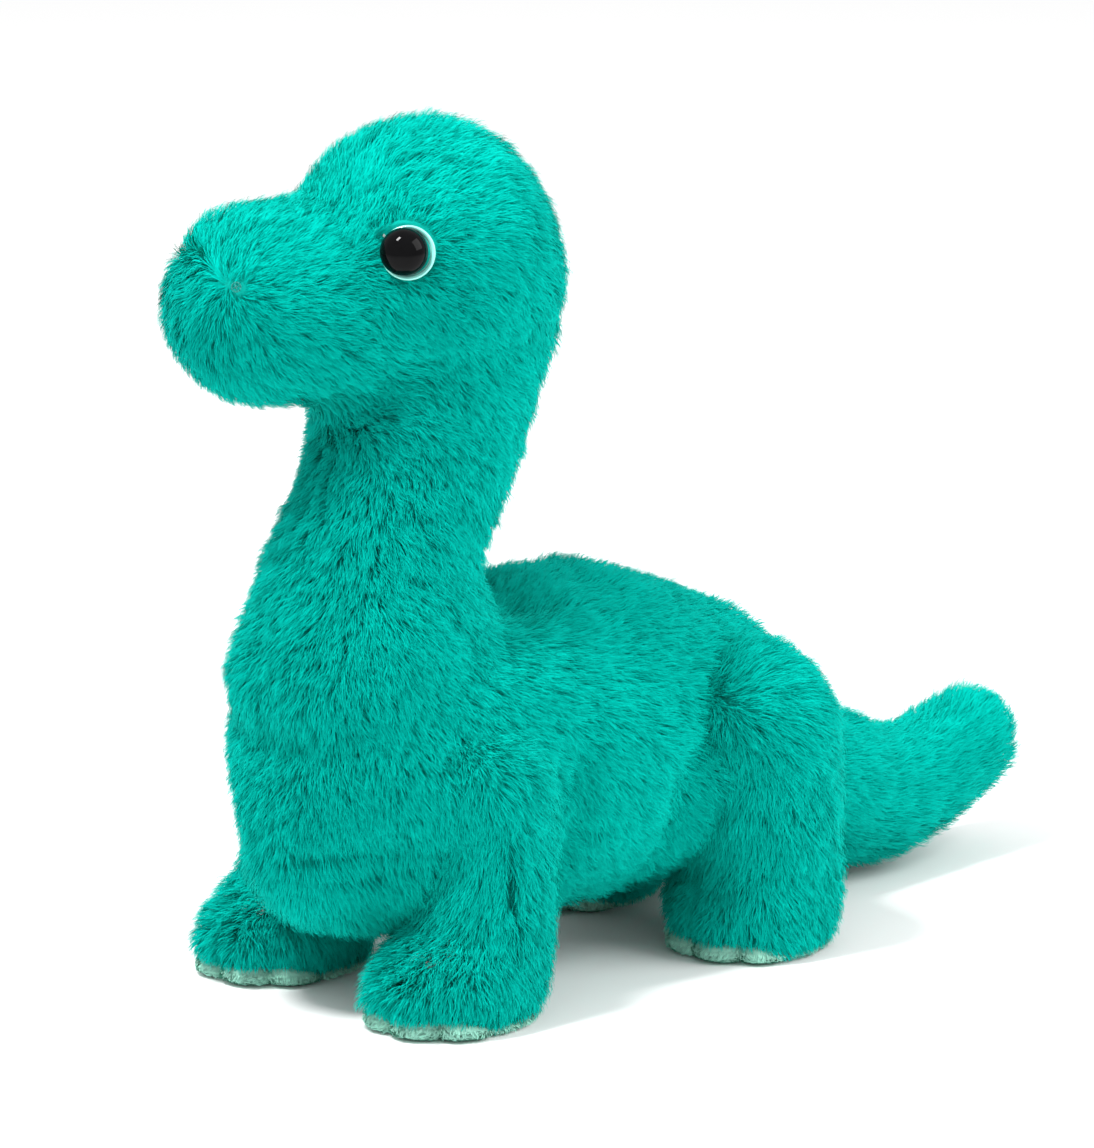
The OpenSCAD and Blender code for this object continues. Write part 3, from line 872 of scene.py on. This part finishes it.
# The deep folds in front of each haunch and behind each shoulder
CREASES = [((40, 41, 75), (42, 21, 51)), ((42, 21, 51), (40, 16, 22)), ((42, -20, 62), (42, -20, 24))]

# Planes where a skin is cut, just short of where the next body starts
NECK_WAY = np.array([0, -0.447, 0.894])
NECK_START = NECK - NECK_WAY * 6.7 * MM
HEAD_START = HEAD + np.array([0, 0, -20 * MM])
TAIL_WAY = np.array([0, 0.88, -0.475])
TAIL_START = TAIL - TAIL_WAY * 14 * MM
CUT_BACK = 3.2 * MM


def beyond(points, start, way):
    return (points - start) @ way > -CUT_BACK


def trunk_region(points):
    """0 torso, 1 neck, 2 head, 3 tail for each point."""
    region = np.zeros(len(points), int)
    region[beyond(points, TAIL_START, TAIL_WAY)] = 3
    region[beyond(points, NECK_START, NECK_WAY) & (points[:, 1] < NECK[1] + 0.06)] = 1
    region[beyond(points, HEAD_START, np.array([0, 0, 1.0]))] = 2
    return region


def puffed(piece, pinned, settings):
    """The stuffing pushes the fabric out between its seams: a cloth simulation with its result made real."""
    rest = points_of(piece.data)
    held = piece.vertex_groups.new(name="held")
    for weight in (1.0, 0.5):
        chosen = np.nonzero((pinned > weight - 0.25) & (pinned <= weight + 0.25))[0]
        held.add([int(i) for i in chosen], weight, "REPLACE")
    cloth = piece.modifiers.new("puff", "CLOTH")
    cloth.settings.use_pressure = True
    cloth.settings.uniform_pressure_force = 4.0
    cloth.settings.vertex_group_mass = "held"
    cloth.settings.quality = 4
    cloth.settings.tension_stiffness = 15
    cloth.settings.compression_stiffness = 15
    cloth.settings.shear_stiffness = 5
    cloth.settings.effector_weights.gravity = 0
    cloth.point_cache.frame_start = 1
    cloth.point_cache.frame_end = 14
    scene = bpy.context.scene
    for step in range(1, 13):
        scene.frame_set(step)
    graph = bpy.context.evaluated_depsgraph_get()
    risen = bpy.data.meshes.new_from_object(piece.evaluated_get(graph))
    moved = points_of(risen) - rest
    piece.modifiers.clear()
    piece.vertex_groups.clear()
    bpy.data.meshes.remove(risen)
    scene.frame_set(1)
    reach = np.linalg.norm(moved, axis=1, keepdims=True)
    moved *= np.minimum(1, settings.swell / np.maximum(reach, 1e-9))
    set_points(piece.data, relaxed(piece.data, rest + moved, 2))
    return piece


def subdivided(piece):
    rounder = piece.modifiers.new("finer", "SUBSURF")
    rounder.levels = 1
    rounder.render_levels = 1
    return applied(piece)


def face_middles(mesh):
    return read(mesh.polygons, "center").astype(float)


def part_of(piece, name, keep, materials):
    """A new piece from the faces that are kept."""
    form = bmesh.new()
    form.from_mesh(piece.data)
    form.faces.ensure_lookup_table()
    bmesh.ops.delete(form, geom=[f for f, k in zip(form.faces, keep) if not k], context="FACES")
    mesh = bpy.data.meshes.new(name)
    form.to_mesh(mesh)
    form.free()
    mesh.materials.clear()
    for material in materials:
        mesh.materials.append(material)
    mesh.polygons.foreach_set("use_smooth", np.ones(len(mesh.polygons), bool))
    return in_scene(name, mesh)


def deep_inside(tree, points, depth):
    """True for each point that lies deeper than depth inside the tree's closed form."""
    made = np.zeros(len(points), bool)
    for i, p in enumerate(points):
        at, normal, _, apart = tree.find_nearest(Vector(p))
        if at is not None and apart > depth and (Vector(p) - at).dot(normal) < 0:
            made[i] = True
    return made


BUILT = {}


class PLUSH_OT_padding(bpy.types.Operator):
    """Puff up the fabric skins of the trunk and the legs, and part them where the joints bend"""

    bl_idname = "plush.padding"
    bl_label = "Padded Skins"

    def execute(self, context):
        settings = context.scene.plush_padding
        pile = context.scene.plush_pile
        # The backing runs from 0.55 to 1.2 times the root colour in random patches and weave: painted shade where
        # it shows in the gaps between the locks.
        back = finish_of(
            "backing", backing_finish, "pile_backing",
            scaled(pile.root_shade_colour, 0.55), scaled(pile.root_shade_colour, 1.2))
        self.trunk(settings, back)
        for leg in LEGS:
            self.leg(leg, settings, back)
        return {"FINISHED"}

    def trunk(self, settings, back):
        forms = [tube_of_stations(TORSO_STATIONS), tube_of_stations(NECK_STATIONS)]
        forms.append(ball_form(from_head([[0, 0.3, 0]])[0], (34.8 * MM,) * 3))
        for leg in LEGS:
            joint = joint_at(leg + "_leg_swing")
            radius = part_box(leg + "_leg_outer")[1].z - joint[2]
            inward = np.array([math.copysign(3.0, -joint[0]), 0, 1.5]) * MM
            forms.append(ball_form(joint + inward, (radius, radius * 1.02, radius)))
        nodes = [n for body in ("neck", "head", "tail") for n in frame["record"]["behaviour"]["bodies"][body]
                 if not n.startswith(("eye", "nostril"))]
        trunk = united("trunk", forms, nodes, settings.mesh_size)
        mesh = trunk.data
        points = relaxed(mesh, points_of(mesh), 6)
        near = np.zeros(len(points))
        for leg in LEGS:
            joint = joint_at(leg + "_leg_swing")
            apart = np.linalg.norm((points - joint) * [1, 1, 0.8], axis=1) / MM
            near = np.maximum(near, np.clip((44 - apart) / 12, 0, 1))
        for middle, reach in ((NECK, 40), (HEAD, 36), (TAIL, 34)):
            apart = np.linalg.norm(points - middle, axis=1) / MM
            near = np.maximum(near, 0.6 * np.clip((reach - apart) / 12, 0, 1))
        points = melted(mesh, points, 14, near)
        set_points(mesh, points)
        set_points(mesh, touched(points_of(mesh), normals_of(mesh)))
        fold = crease(points_of(mesh), 6.5)[:, None]
        set_points(mesh, points_of(mesh) - normals_of(mesh) * fold * 5.0 * MM)
        points = points_of(mesh)
        normals = normals_of(mesh)
        points = points - normals * settings.backing_depth
        set_points(mesh, relaxed(mesh, points, 3))
        points, normals = points_of(mesh), normals_of(mesh)
        off, counts = gusset_seam(points, normals)
        muzzle, on_head = muzzle_seam(points)
        spine = np.abs(points[:, 0]) / MM
        seam = np.maximum(counts * np.clip(1 - np.abs(off) / 3.2, 0, 1),
                          np.where(on_head, np.clip(1 - np.abs(muzzle) / 3.2, 0, 1), 0))
        on_spine = (counts == 0) & (points[:, 2] < HEAD[2])
        seam = np.maximum(seam, np.where(on_spine, 0.7 * np.clip(1 - spine / 3.2, 0, 1), 0))
        puffed(trunk, seam, settings)
        subdivided(trunk)
        mesh = trunk.data
        points, normals = points_of(mesh), normals_of(mesh)
        off, counts = gusset_seam(points, normals)
        muzzle, on_head = muzzle_seam(points)
        valley = np.maximum(1.3 * counts * np.exp(-(off / 4.5) ** 2),
                            np.where(on_head, 0.9 * np.exp(-(muzzle / 2.2) ** 2), 0))
        lumps = waves(points, 0.026, 4) * 0.35 * MM
        fold = crease(points, 2.8) * 3.0 * MM
        set_points(mesh, points - normals * (valley * settings.seam_depth - lumps + fold)[:, None])
        BUILT["trunk_tree"] = BVHTree.FromObject(trunk, bpy.context.evaluated_depsgraph_get())
        fibre = finish_of("fibre", fibre_finish)
        filling = trunk.copy()
        filling.data = mesh.copy()
        set_points(filling.data, points_of(mesh) - normals_of(mesh) * settings.fabric)
        region = trunk_region(face_middles(mesh))
        bodies = frame["record"]["behaviour"]["bodies"]
        for number, body in enumerate(("torso", "neck", "head", "tail")):
            skin = part_of(trunk, body + "_skin", region == number, [back])
            BUILT[body] = skin
            covered = [n for n in bodies[body] if "panel" in n or "gusset" in n or n == "muzzle_cover"]
            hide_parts(*covered)
            attach(skin, body)
            self.fill(filling, body, region == number, fibre)
        bpy.data.objects.remove(trunk)
        bpy.data.objects.remove(filling)

    def fill(self, whole, body, keep, fibre):
        """The stuffing just under a skin, attached in the same way as the skin."""
        filling = part_of(whole, body + "_filling", keep, [fibre])
        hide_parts(body.replace("torso", "body") + "_stuffing")
        attach(filling, body)

    def leg(self, leg, settings, back):
        nodes = [leg + "_leg_outer", leg + "_leg_inner", leg + "_leg_stuffing"]
        joint = joint_at(leg + "_leg_swing")
        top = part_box(leg + "_leg_outer")[1].z
        skin = united(leg + "_leg_skin", [ball_form(joint, (top - joint[2] - 0.0002,) * 3)], nodes, 0.0025)
        mesh = skin.data
        points = relaxed(mesh, self.instep(points_of(mesh), leg, joint), 5)
        set_points(mesh, points)
        inward = normals_of(mesh) * 0.0036
        points = points - inward * np.array([1, 1, 0.35])
        set_points(mesh, relaxed(mesh, points, 2))
        points = points_of(mesh)
        seam = np.clip(1 - np.abs(points[:, 0] - joint[0]) / MM / 2.6, 0, 1)
        puffed(skin, seam, settings)
        subdivided(skin)
        mesh = skin.data
        points, normals = points_of(mesh), normals_of(mesh)
        toes = self.toes(points, leg)
        set_points(mesh, points - normals * toes[:, None])
        mesh.materials.clear()
        mesh.materials.append(back)
        mesh.polygons.foreach_set("use_smooth", np.ones(len(mesh.polygons), bool))
        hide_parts(leg + "_leg_outer", leg + "_leg_inner")
        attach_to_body(skin, leg + "_leg")
        BUILT[leg] = skin
        inner = skin.copy()
        inner.data = mesh.copy()
        form = points_of(mesh)
        middle = box_middle(form)
        set_points(inner.data, middle + (form - middle) * LEG_FILLING_SHARE)
        filling = part_of(inner, leg + "_leg_filling", np.ones(len(mesh.polygons), bool),
                          [finish_of("fibre", fibre_finish)])
        bpy.data.objects.remove(inner)
        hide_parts(leg + "_leg_stuffing")
        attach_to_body(filling, leg + "_leg")

    def instep(self, points, leg, joint):
        """Draws the shank in behind the foot, so that the toes stand out in front of it."""
        z = points[:, 2] / MM
        share = np.clip((z - 11) / 11, 0, 1) * np.clip((66 - z) / 14, 0, 1)
        away = points - joint
        front = np.clip(-away[:, 1] / (10 * MM), 0, 1)
        depth = 0.42 if leg.startswith("front") else 0.2
        points = points.copy()
        points[:, 1] -= away[:, 1] * depth * share * front
        narrowing = 0.1 if leg.startswith("front") else 0.04
        points[:, 0] -= away[:, 0] * narrowing * np.clip((66 - z) / 14, 0, 1)
        if leg.startswith("hind"):
            points[:, 1] -= away[:, 1] * 0.16 * front * np.clip((40 - z) / 12, 0, 1)
        return points

    def toes(self, points, leg):
        """Shallow valleys between the toes, round the front of the foot."""
        low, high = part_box(leg + "_sole")
        middle = np.array([(low.x + high.x) / 2, low.y + 24 * MM])
        out = points[:, :2] - middle
        angle = np.degrees(np.arctan2(out[:, 0], -out[:, 1]))
        front = np.clip((18 - points[:, 2] / MM) / 10, 0, 1) * (np.abs(angle) < 75)
        valley = np.zeros(len(points))
        for between in (-40, 0, 40):
            valley = np.maximum(valley, np.exp(-((angle - between) / 9) ** 2))
        return valley * front * 1.6 * MM


def attach(piece, body):
    """Attach a torso piece to the torso; a neck, head or tail piece only has its placing made part of its mesh."""
    if body == "torso":
        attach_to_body(piece, "torso")
    elif body == "neck":
        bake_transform(piece)
    elif body == "head":
        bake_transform(piece)
    else:
        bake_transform(piece)


# ---------------------------------------------------------------- the coat


class PLUSH_OT_coat(bpy.types.Operator):
    """Grow the laid pile over every skin"""

    bl_idname = "plush.coat"
    bl_label = "Pile"

    def execute(self, context):
        settings = context.scene.plush_pile
        density = settings.density * 1.0
        slots = pile_slots(settings)
        leg_trees = [BVHTree.FromObject(BUILT[leg], context.evaluated_depsgraph_get()) for leg in LEGS]
        for number, body in enumerate(("torso", "neck", "head", "tail")):
            self.coat_trunk(body, number, density, slots, settings, leg_trees)
        for number, leg in enumerate(LEGS):
            self.coat_leg(leg, number, density, slots, settings)
        return {"FINISHED"}

    def coat_trunk(self, body, number, density, slots, settings, leg_trees):
        mesh = BUILT[body].data
        middles = face_middles(mesh)
        share = np.ones(len(middles))
        if body == "torso":
            for tree in leg_trees:
                share[deep_inside(tree, middles, 0.006)] = 0
            share[middles[:, 2] < 0.03] *= 0.7
        roots, normals = sampled(mesh, density, np.random.default_rng(100 + number), share)
        way = tangent(comb_trunk(roots, normals), normals)
        length = np.full(len(roots), settings.fibre_length)
        lift = np.full(len(roots), math.radians(44))
        keep = np.ones(len(roots), bool)
        off, counts = gusset_seam(roots, normals)
        beside = counts * np.exp(-(off / 3.0) ** 2)
        length *= 1 - 0.12 * beside - 0.35 * crease(roots, 3.5)
        if body == "head":
            q = to_head(roots)
            forward = np.clip((-q[:, 1] - 22) / 20, 0, 1)
            length *= 0.9 - 0.12 * forward
            muzzle, on_head = muzzle_seam(roots)
            beside = np.where(on_head, np.exp(-(muzzle / 2.6) ** 2), 0)
            length *= 1 - 0.25 * beside
            for side in (1, -1):
                middle, axis = eye_axis(side)
                away = roots - middle - HEAD_TURN @ np.array([0, -0.3, 0.4]) * MM
                apart = np.linalg.norm(away - (away @ axis)[:, None] * axis, axis=1) / MM
                facing = normals @ axis > 0.3
                # No fibres within 7.5 mm of the eye, so that the dark backing shows round the rim as a painted
                # shadow in the socket.
                keep &= ~(facing & (apart < 7.5))
                near = np.where(facing, np.exp(-np.maximum(apart - 7.5, 0) / 3.2), 0)
                length *= 1 - 0.5 * near
                lift *= 1 - 0.25 * near
                middle, axis = nostril_axis(side)
                apart = np.linalg.norm(roots - middle + axis * 3.5 * MM, axis=1) / MM
                keep &= apart > 2.3
                near = np.exp(-np.maximum(apart - 2.0, 0) / 4.0)
                length *= 1 - 0.42 * near
                lift *= 1 - 0.3 * near
        sides = np.where(roots[:, 0] >= 0, 0, 1)
        if body in ("torso", "neck"):
            sides = np.where((counts > 0) & (off < 0), 2, sides)
        names = ("left", "right", "front" if body == "neck" else "under")
        for side in np.unique(sides):
            chosen = keep & (sides == side)
            self.in_batches(
                f"{body}_pile_{names[side]}", body, chosen, roots, normals, way, length, lift, slots,
                settings, 1000 + number * 100 + int(side) * 10)

    def in_batches(self, name, body, chosen, roots, normals, way, length, lift, slots, settings, seed):
        """Grows the chosen roots as one piece, or as more pieces where there are too many for one."""
        index = np.nonzero(chosen)[0]
        count = max(1, math.ceil(len(index) / LARGEST_PIECE))
        order = index[np.argsort(roots[index, 1], kind="stable")]
        for i, part in enumerate(np.array_split(order, count)):
            label = name if count == 1 else f"{name}_{i + 1}"
            piece = pile_piece(
                label, roots[part], normals[part], way[part], length[part], lift[part], slots, 4, seed,
                settings)
            if body in ("torso", "neck", "head", "tail"):
                attach(piece, body)
            else:
                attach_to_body(piece, body)

    def coat_leg(self, leg, number, density, slots, settings):
        mesh = BUILT[leg].data
        middles = face_middles(mesh)
        share = np.where(deep_inside(BUILT["trunk_tree"], middles, 0.005), 0.0, 1.0)
        share[read(mesh.polygons, "normal")[:, 2] < -0.75] = 0.0
        roots, normals = sampled(mesh, density, np.random.default_rng(200 + number), share)
        way = tangent(comb_leg(roots, normals, leg), normals)
        z = roots[:, 2] / MM
        length = settings.fibre_length * (0.97 - 0.3 * np.clip((14 - z) / 12, 0, 1))
        lift = np.full(len(roots), math.radians(42)) * (1 - 0.25 * np.clip((12 - z) / 10, 0, 1))
        low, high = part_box(leg + "_sole")
        out = roots[:, :2] - np.array([(low.x + high.x) / 2, (low.y + high.y) / 2])
        ahead = np.clip((-unit(out)[:, 1] - 0.45) / 0.25, 0, 1)
        drop = np.clip(z - 1.2 - 3.4 * ahead, 1.0, None) * MM
        length = np.minimum(length, np.where(way[:, 2] < -0.5, drop * 1.25 + 1.2 * MM, length))
        keep = np.ones(len(roots), bool)
        self.in_batches(
            f"{leg}_leg_pile", leg + "_leg", keep, roots, normals, way, length, lift, slots, settings,
            2000 + number * 10)


# ---------------------------------------------------------------- eyes, nostrils and soles


def turned_form(profile, around):
    """Points and faces of a profile, radius and height, turned about +Z. A radius of nought closes it."""
    points, rows, faces = [], [], []
    for radius, height in profile:
        if radius <= 0:
            rows.append([len(points)] * around)
            points.append((0, 0, height))
        else:
            rows.append(list(range(len(points), len(points) + around)))
            turns = [2 * math.pi * j / around for j in range(around)]
            points += [(radius * math.cos(a), radius * math.sin(a), height) for a in turns]
    for low, high in zip(rows, rows[1:]):
        for j in range(around):
            face = [low[j], low[(j + 1) % around], high[(j + 1) % around], high[j]]
            faces.append(tuple(dict.fromkeys(face)))
    return np.array(points, float), faces


def facing(middle, axis):
    """The matrix that stands +Z along an axis at a place."""
    turn = Vector(axis).to_track_quat("Z", "Y").to_matrix().to_4x4()
    return Matrix.Translation(Vector(middle)) @ turn


class PLUSH_OT_eyes(bpy.types.Operator):
    """Make the two domed safety eyes with their pale rims"""

    bl_idname = "plush.eyes"
    bl_label = "Eyes"

    def execute(self, context):
        trim = context.scene.plush_trim
        dome, rim = finish_of("eye", eye_finish), finish_of("rim", rim_finish, trim.rim_colour)
        for side, name in ((1, "left"), (-1, "right")):
            middle, axis = eye_axis(side)
            r, outer = trim.eye_width / 2, trim.rim_width / 2
            seat, top = -3.7 * MM, -1.9 * MM
            ball = [
                (r * math.sin(a), top + r * 0.88 * math.cos(a)) for a in np.linspace(0, math.pi / 2, 20)]
            profile = [(0, ball[0][1])] + ball[1:] + [(r, top - 0.8 * MM), (r * 0.98, seat)]
            points, faces = turned_form(profile[::-1], 64)
            ring = [
                (r * 0.9, seat), (outer - 0.5 * MM, seat), (outer, seat + 0.6 * MM),
                (outer, seat + 1.3 * MM), (outer - 0.3 * MM, seat + 1.6 * MM),
                (r + 0.3 * MM, seat + 1.5 * MM), (r * 0.985, seat + 1.2 * MM),
            ]
            ring_points, ring_faces = turned_form(ring, 64)
            rear = HEAD_TURN @ np.array([0, 1.1, -0.35]) * MM
            shift = facing(middle, axis).to_3x3().inverted() @ Vector(rear)
            ring_points = ring_points + np.array(shift) * [1, 1, 0]
            start = len(points)
            faces = faces + [tuple(i + start for i in face) for face in ring_faces]
            piece = new_piece(f"eye_dome_{name}", np.concatenate([points, ring_points]), faces, [dome, rim])
            slots = [0] * (len(faces) - len(ring_faces)) + [1] * len(ring_faces)
            piece.data.polygons.foreach_set("material_index", slots)
            piece.data.transform(facing(middle, axis))
            piece.data.update()
            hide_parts(f"eye_{name}")
            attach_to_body(piece, "head")
        return {"FINISHED"}


class PLUSH_OT_nostrils(bpy.types.Operator):
    """Stitch the nostrils: a ring of thread round a small knot, on each side of the muzzle"""

    bl_idname = "plush.nostrils"
    bl_label = "Nostrils"

    def execute(self, context):
        thread = finish_of("thread", thread_finish, context.scene.plush_trim.thread_colour)
        points, faces = [], []
        for side in (1, -1):
            middle, axis = nostril_axis(side)
            stand = facing(middle - axis * 2.6 * MM, axis)
            for line in self.stitches():
                form = self.thread_form(line, 0.22 * MM)
                start = sum(len(p) for p in points)
                points.append(np.array([stand @ Vector(p) for p in form[0]]))
                faces += [tuple(i + start for i in face) for face in form[1]]
        piece = new_piece("nostril_stitching", np.concatenate(points), faces, [thread])
        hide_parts("nostril_stitches")
        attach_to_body(piece, "head")
        return {"FINISHED"}

    def stitches(self):
        """Lines of thread, in metres round +Z: a ring of stitches that dip at their ends, and a cross."""
        lines = []
        for i in range(8):
            a = np.linspace(i, i + 1.05, 9) * math.pi / 4
            rise = 0.35 * np.sin(np.linspace(0, math.pi, 9))
            lines.append(np.stack([np.cos(a) * 1.15, np.sin(a) * 1.15, rise], 1) * MM)
        for turn in (0.4, 1.97):
            t = np.linspace(-0.8, 0.8, 9)
            lines.append(np.stack([
                t * math.cos(turn), t * math.sin(turn), 0.3 - 0.7 * t * t + 0.12 * turn], 1) * MM)
        return lines

    def thread_form(self, line, radius, around=8):
        run = np.gradient(line, axis=0)
        run = unit(run)
        side = unit(np.cross(run, [0.1, 0.2, 1.0]))
        up = np.cross(run, side)
        points = []
        for k, p in enumerate(line):
            swell = radius * (0.55 if k in (0, len(line) - 1) else 1.0)
            for j in range(around):
                a = 2 * math.pi * j / around
                points.append(p + swell * (math.cos(a) * side[k] + math.sin(a) * up[k]))
        faces = wall(len(line), around)
        faces.append(tuple(reversed(range(around))))
        faces.append(tuple((len(line) - 1) * around + j for j in range(around)))
        return points, faces


# A sole's edge from the floor up: height and how far it stands out, in mm
SOLE_PROFILE = ((0.35, -3.0), (0.5, -1.0), (1.3, 0.1), (2.6, 0.5), (3.8, 0.2), (4.8, -0.8), (5.4, -3.0))
SOLE_FLOOR = 0.35
SOLE_DENSITY = 9.0
SOLE_TUFT = 0.0016
SOLE_FIBRE_WIDTH = 0.0003
EDGE_POINTS = 240


class PLUSH_OT_soles(bpy.types.Operator):
    """Make the pale plush soles, scalloped into toes along their front edge"""

    bl_idname = "plush.soles"
    bl_label = "Soles"

    def execute(self, context):
        trim = context.scene.plush_trim
        pile = context.scene.plush_pile
        colour = trim.sole_colour
        # The sole's backing at 0.65 to 0.85 of the sole colour and its fibres' roots and middles at 0.8 and 0.9
        # are painted shade deep in the sole's pile; the three tones differ at random.
        back = finish_of(
            "sole_back", backing_finish, "sole_backing", scaled(colour, 0.65), scaled(colour, 0.85))
        levels = [("root", scaled(colour, 0.8)), ("middle", scaled(colour, 0.9)), ("tip", colour)]
        slots = finish_of("sole_pile", pile_finishes, "sole_pile", levels, (0.85, 1.0, 1.12))
        for number, leg in enumerate(LEGS):
            self.sole(leg, number, back, slots, pile)
        return {"FINISHED"}

    def outline(self, leg, grow):
        """The sole's edge as points round it, from its CAD node's box."""
        low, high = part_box(leg + "_sole")
        middle = np.array([(low.x + high.x) / 2, (low.y + high.y) / 2])
        half_long, half_wide = (high.y - low.y) / 2, (high.x - low.x) / 2
        angle = np.linspace(-math.pi, math.pi, EDGE_POINTS, endpoint=False)
        front = np.cos(angle)
        toe_turn = math.radians(40)
        at_toes = np.abs(angle) < 2 * toe_turn
        scallop = np.where(at_toes, np.abs(np.sin(angle / toe_turn * math.pi)) ** 0.55, 0.5)
        radius = 1.0 + 0.16 * (scallop - 0.6)
        x = half_wide * (0.93 - 0.06 * np.clip(-front, 0, 1)) * np.sin(angle) * radius
        toe_share = 0.93 if leg.startswith("front") else 0.84
        y = -half_long * np.where(front > 0, toe_share, 0.98) * front * radius
        edge = np.stack([x, y], 1)
        edge += unit(edge) * grow
        return edge + middle

    def sole(self, leg, number, back, slots, pile):
        rings = []
        angle = np.linspace(-math.pi, math.pi, EDGE_POINTS, endpoint=False)
        ahead = np.clip((np.cos(angle) - 0.15) / 0.45, 0, 1)
        for z, grow in SOLE_PROFILE:
            edge = self.outline(leg, ((grow - 1.4 * (1 - ahead)) * MM)[:, None])
            rise = (z - SOLE_FLOOR) * (0.45 + 0.55 * ahead)
            rings.append(np.column_stack([edge, (SOLE_FLOOR + rise) * MM]))
        around = len(rings[0])
        points = np.concatenate(rings)
        faces = wall(len(rings), around)
        middle = points[:around].mean(0)
        inner = []
        for shrink in (0.75, 0.5, 0.25):
            ring = middle + (points[:around] - middle) * shrink
            ring[:, 2] = SOLE_FLOOR * MM
            inner.append(ring)
        start = len(points)
        points = np.concatenate([points] + inner + [middle[None]])
        firsts = (0, start, start + around, start + 2 * around)
        rows = [list(range(first, first + around)) for first in firsts]
        for outer, inside in zip(rows, rows[1:]):
            faces += [
                (outer[(j + 1) % around], outer[j], inside[j], inside[(j + 1) % around])
                for j in range(around)]
        last = len(points) - 1
        faces += [(rows[3][(j + 1) % around], rows[3][j], last) for j in range(around)]
        top = (len(rings) - 1) * around
        faces.append(tuple(top + j for j in range(around)))
        skin = new_piece(leg + "_sole_pad", points, faces, [back])
        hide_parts(leg + "_sole")
        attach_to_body(skin, leg + "_leg")
        share = np.where(read(skin.data.polygons, "normal")[:, 2] > 0.6, 0.0, 1.0)
        thin = 1.0
        rng = np.random.default_rng(300 + number)
        roots, normals = sampled(skin.data, SOLE_DENSITY * thin, rng, share)
        low, high = (np.array(corner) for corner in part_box(leg + "_sole"))
        out = roots - np.append((low + high)[:2] / 2, 0)
        way = unit(out * [1, 1, 0]) + [0, 0, -0.3]
        length = np.where(normals[:, 2] < -0.6, 0.9, 1.4) * MM
        lift = np.where(normals[:, 2] < -0.6, math.radians(14), math.radians(40))
        piece = pile_piece(
            leg + "_sole_pile", roots, normals, tangent(way, normals), length, lift, slots, 3,
            3000 + number, pile, tuft=SOLE_TUFT, width=SOLE_FIBRE_WIDTH)
        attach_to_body(piece, leg + "_leg")


class PLUSH_OT_inside(bpy.types.Operator):
    """Finish what the frame carries inside the toy: the stuffing and the eyes' washers"""

    bl_idname = "plush.inside"
    bl_label = "Stuffing and Washers"

    def execute(self, context):
        fibre, washer = finish_of("fibre", fibre_finish), finish_of("washer", washer_finish)
        for name, node in frame["nodes"].items():
            if node.hide_render:
                continue
            material = fibre if "stuffing" in name else washer
            node.data.materials.clear()
            node.data.materials.append(material)
        return {"FINISHED"}


# ---------------------------------------------------------------- stage


class PLUSH_OT_stage(bpy.types.Operator):
    """Set up the camera, the pale floor and the soft lights"""

    bl_idname = "plush.stage"
    bl_label = "Camera, Floor and Lights"

    def execute(self, context):
        settings = context.scene.plush_stage
        scene = context.scene
        aim = Vector(settings.aim)
        a, e = settings.azimuth, settings.elevation
        out = Vector((math.sin(a) * math.cos(e), -math.cos(a) * math.cos(e), math.sin(e)))
        camera = bpy.data.cameras.new("camera")
        camera.lens = settings.lens
        camera.clip_start = 0.01
        holder = in_scene("camera", camera)
        holder.location = aim + out * settings.distance
        holder.rotation_euler = (-out).to_track_quat("-Z", "Y").to_euler()
        scene.camera = holder
        size = 6.0
        floor = new_piece("floor", [(-size, -size, 0), (size, -size, 0), (size, size, 0), (-size, size, 0)],
                          [(0, 1, 2, 3)], [floor_finish(settings.floor_colour)], smooth=False)
        world = bpy.data.worlds.new("studio")
        world.use_nodes = True
        world.node_tree.nodes["Background"].inputs["Color"].default_value = (1, 1, 1, 1)
        world.node_tree.nodes["Background"].inputs["Strength"].default_value = 0.82
        scene.world = world
        left = Vector((-math.cos(a), -math.sin(a), 0))
        for name, place, width, height, power in (
                ("key", aim + out * 0.35 + left * 0.45 + Vector((0, 0, 1.0)), 0.18, 0.34, 16.5),
                ("fill", aim + out * 0.3 - left * 0.9 + Vector((0, 0, 0.6)), 0.8, 0.8, 8.5)):
            lamp = bpy.data.lights.new(name, "AREA")
            lamp.shape = "RECTANGLE"
            lamp.size = width
            lamp.size_y = height
            lamp.energy = power
            stand = in_scene(name, lamp)
            stand.location = place
            stand.rotation_euler = (aim - place).to_track_quat("-Z", "Y").to_euler()
        scene.view_settings.view_transform = "Standard"
        scene.view_settings.look = "None"
        return {"FINISHED"}


class PLUSH_PT_panel(bpy.types.Panel):
    """Lists what the toy is made from"""

    bl_idname = "PLUSH_PT_panel"
    bl_label = "Plush Dinosaur"
    bl_space_type = "VIEW_3D"
    bl_region_type = "UI"
    bl_category = "Plush"

    def draw(self, context):
        layout = self.layout
        for operator in OPERATORS:
            layout.operator(operator.bl_idname)
        for name, group in GROUPS.items():
            box = layout.box()
            for prop in group.__annotations__:
                box.prop(getattr(context.scene, name), prop)


GROUPS = {
    "plush_pile": PlushPile,
    "plush_padding": PlushPadding,
    "plush_trim": PlushTrim,
    "plush_stage": PlushStage,
}
OPERATORS = (
    PLUSH_OT_stage, PLUSH_OT_padding, PLUSH_OT_coat, PLUSH_OT_eyes, PLUSH_OT_nostrils, PLUSH_OT_soles,
    PLUSH_OT_inside,
)


def register():
    for item in (*GROUPS.values(), *OPERATORS, PLUSH_PT_panel):
        bpy.utils.register_class(item)
    for name, group in GROUPS.items():
        setattr(bpy.types.Scene, name, bpy.props.PointerProperty(type=group))


def unregister():
    for name in GROUPS:
        delattr(bpy.types.Scene, name)
    for item in reversed((*GROUPS.values(), *OPERATORS, PLUSH_PT_panel)):
        bpy.utils.unregister_class(item)


def main():
    register()
    for operator in OPERATORS:
        group, name = operator.bl_idname.split(".")
        if getattr(getattr(bpy.ops, group), name)() != {"FINISHED"}:
            raise RuntimeError(operator.bl_label + " didn't finish")


if __name__ == "__main__":
    main()
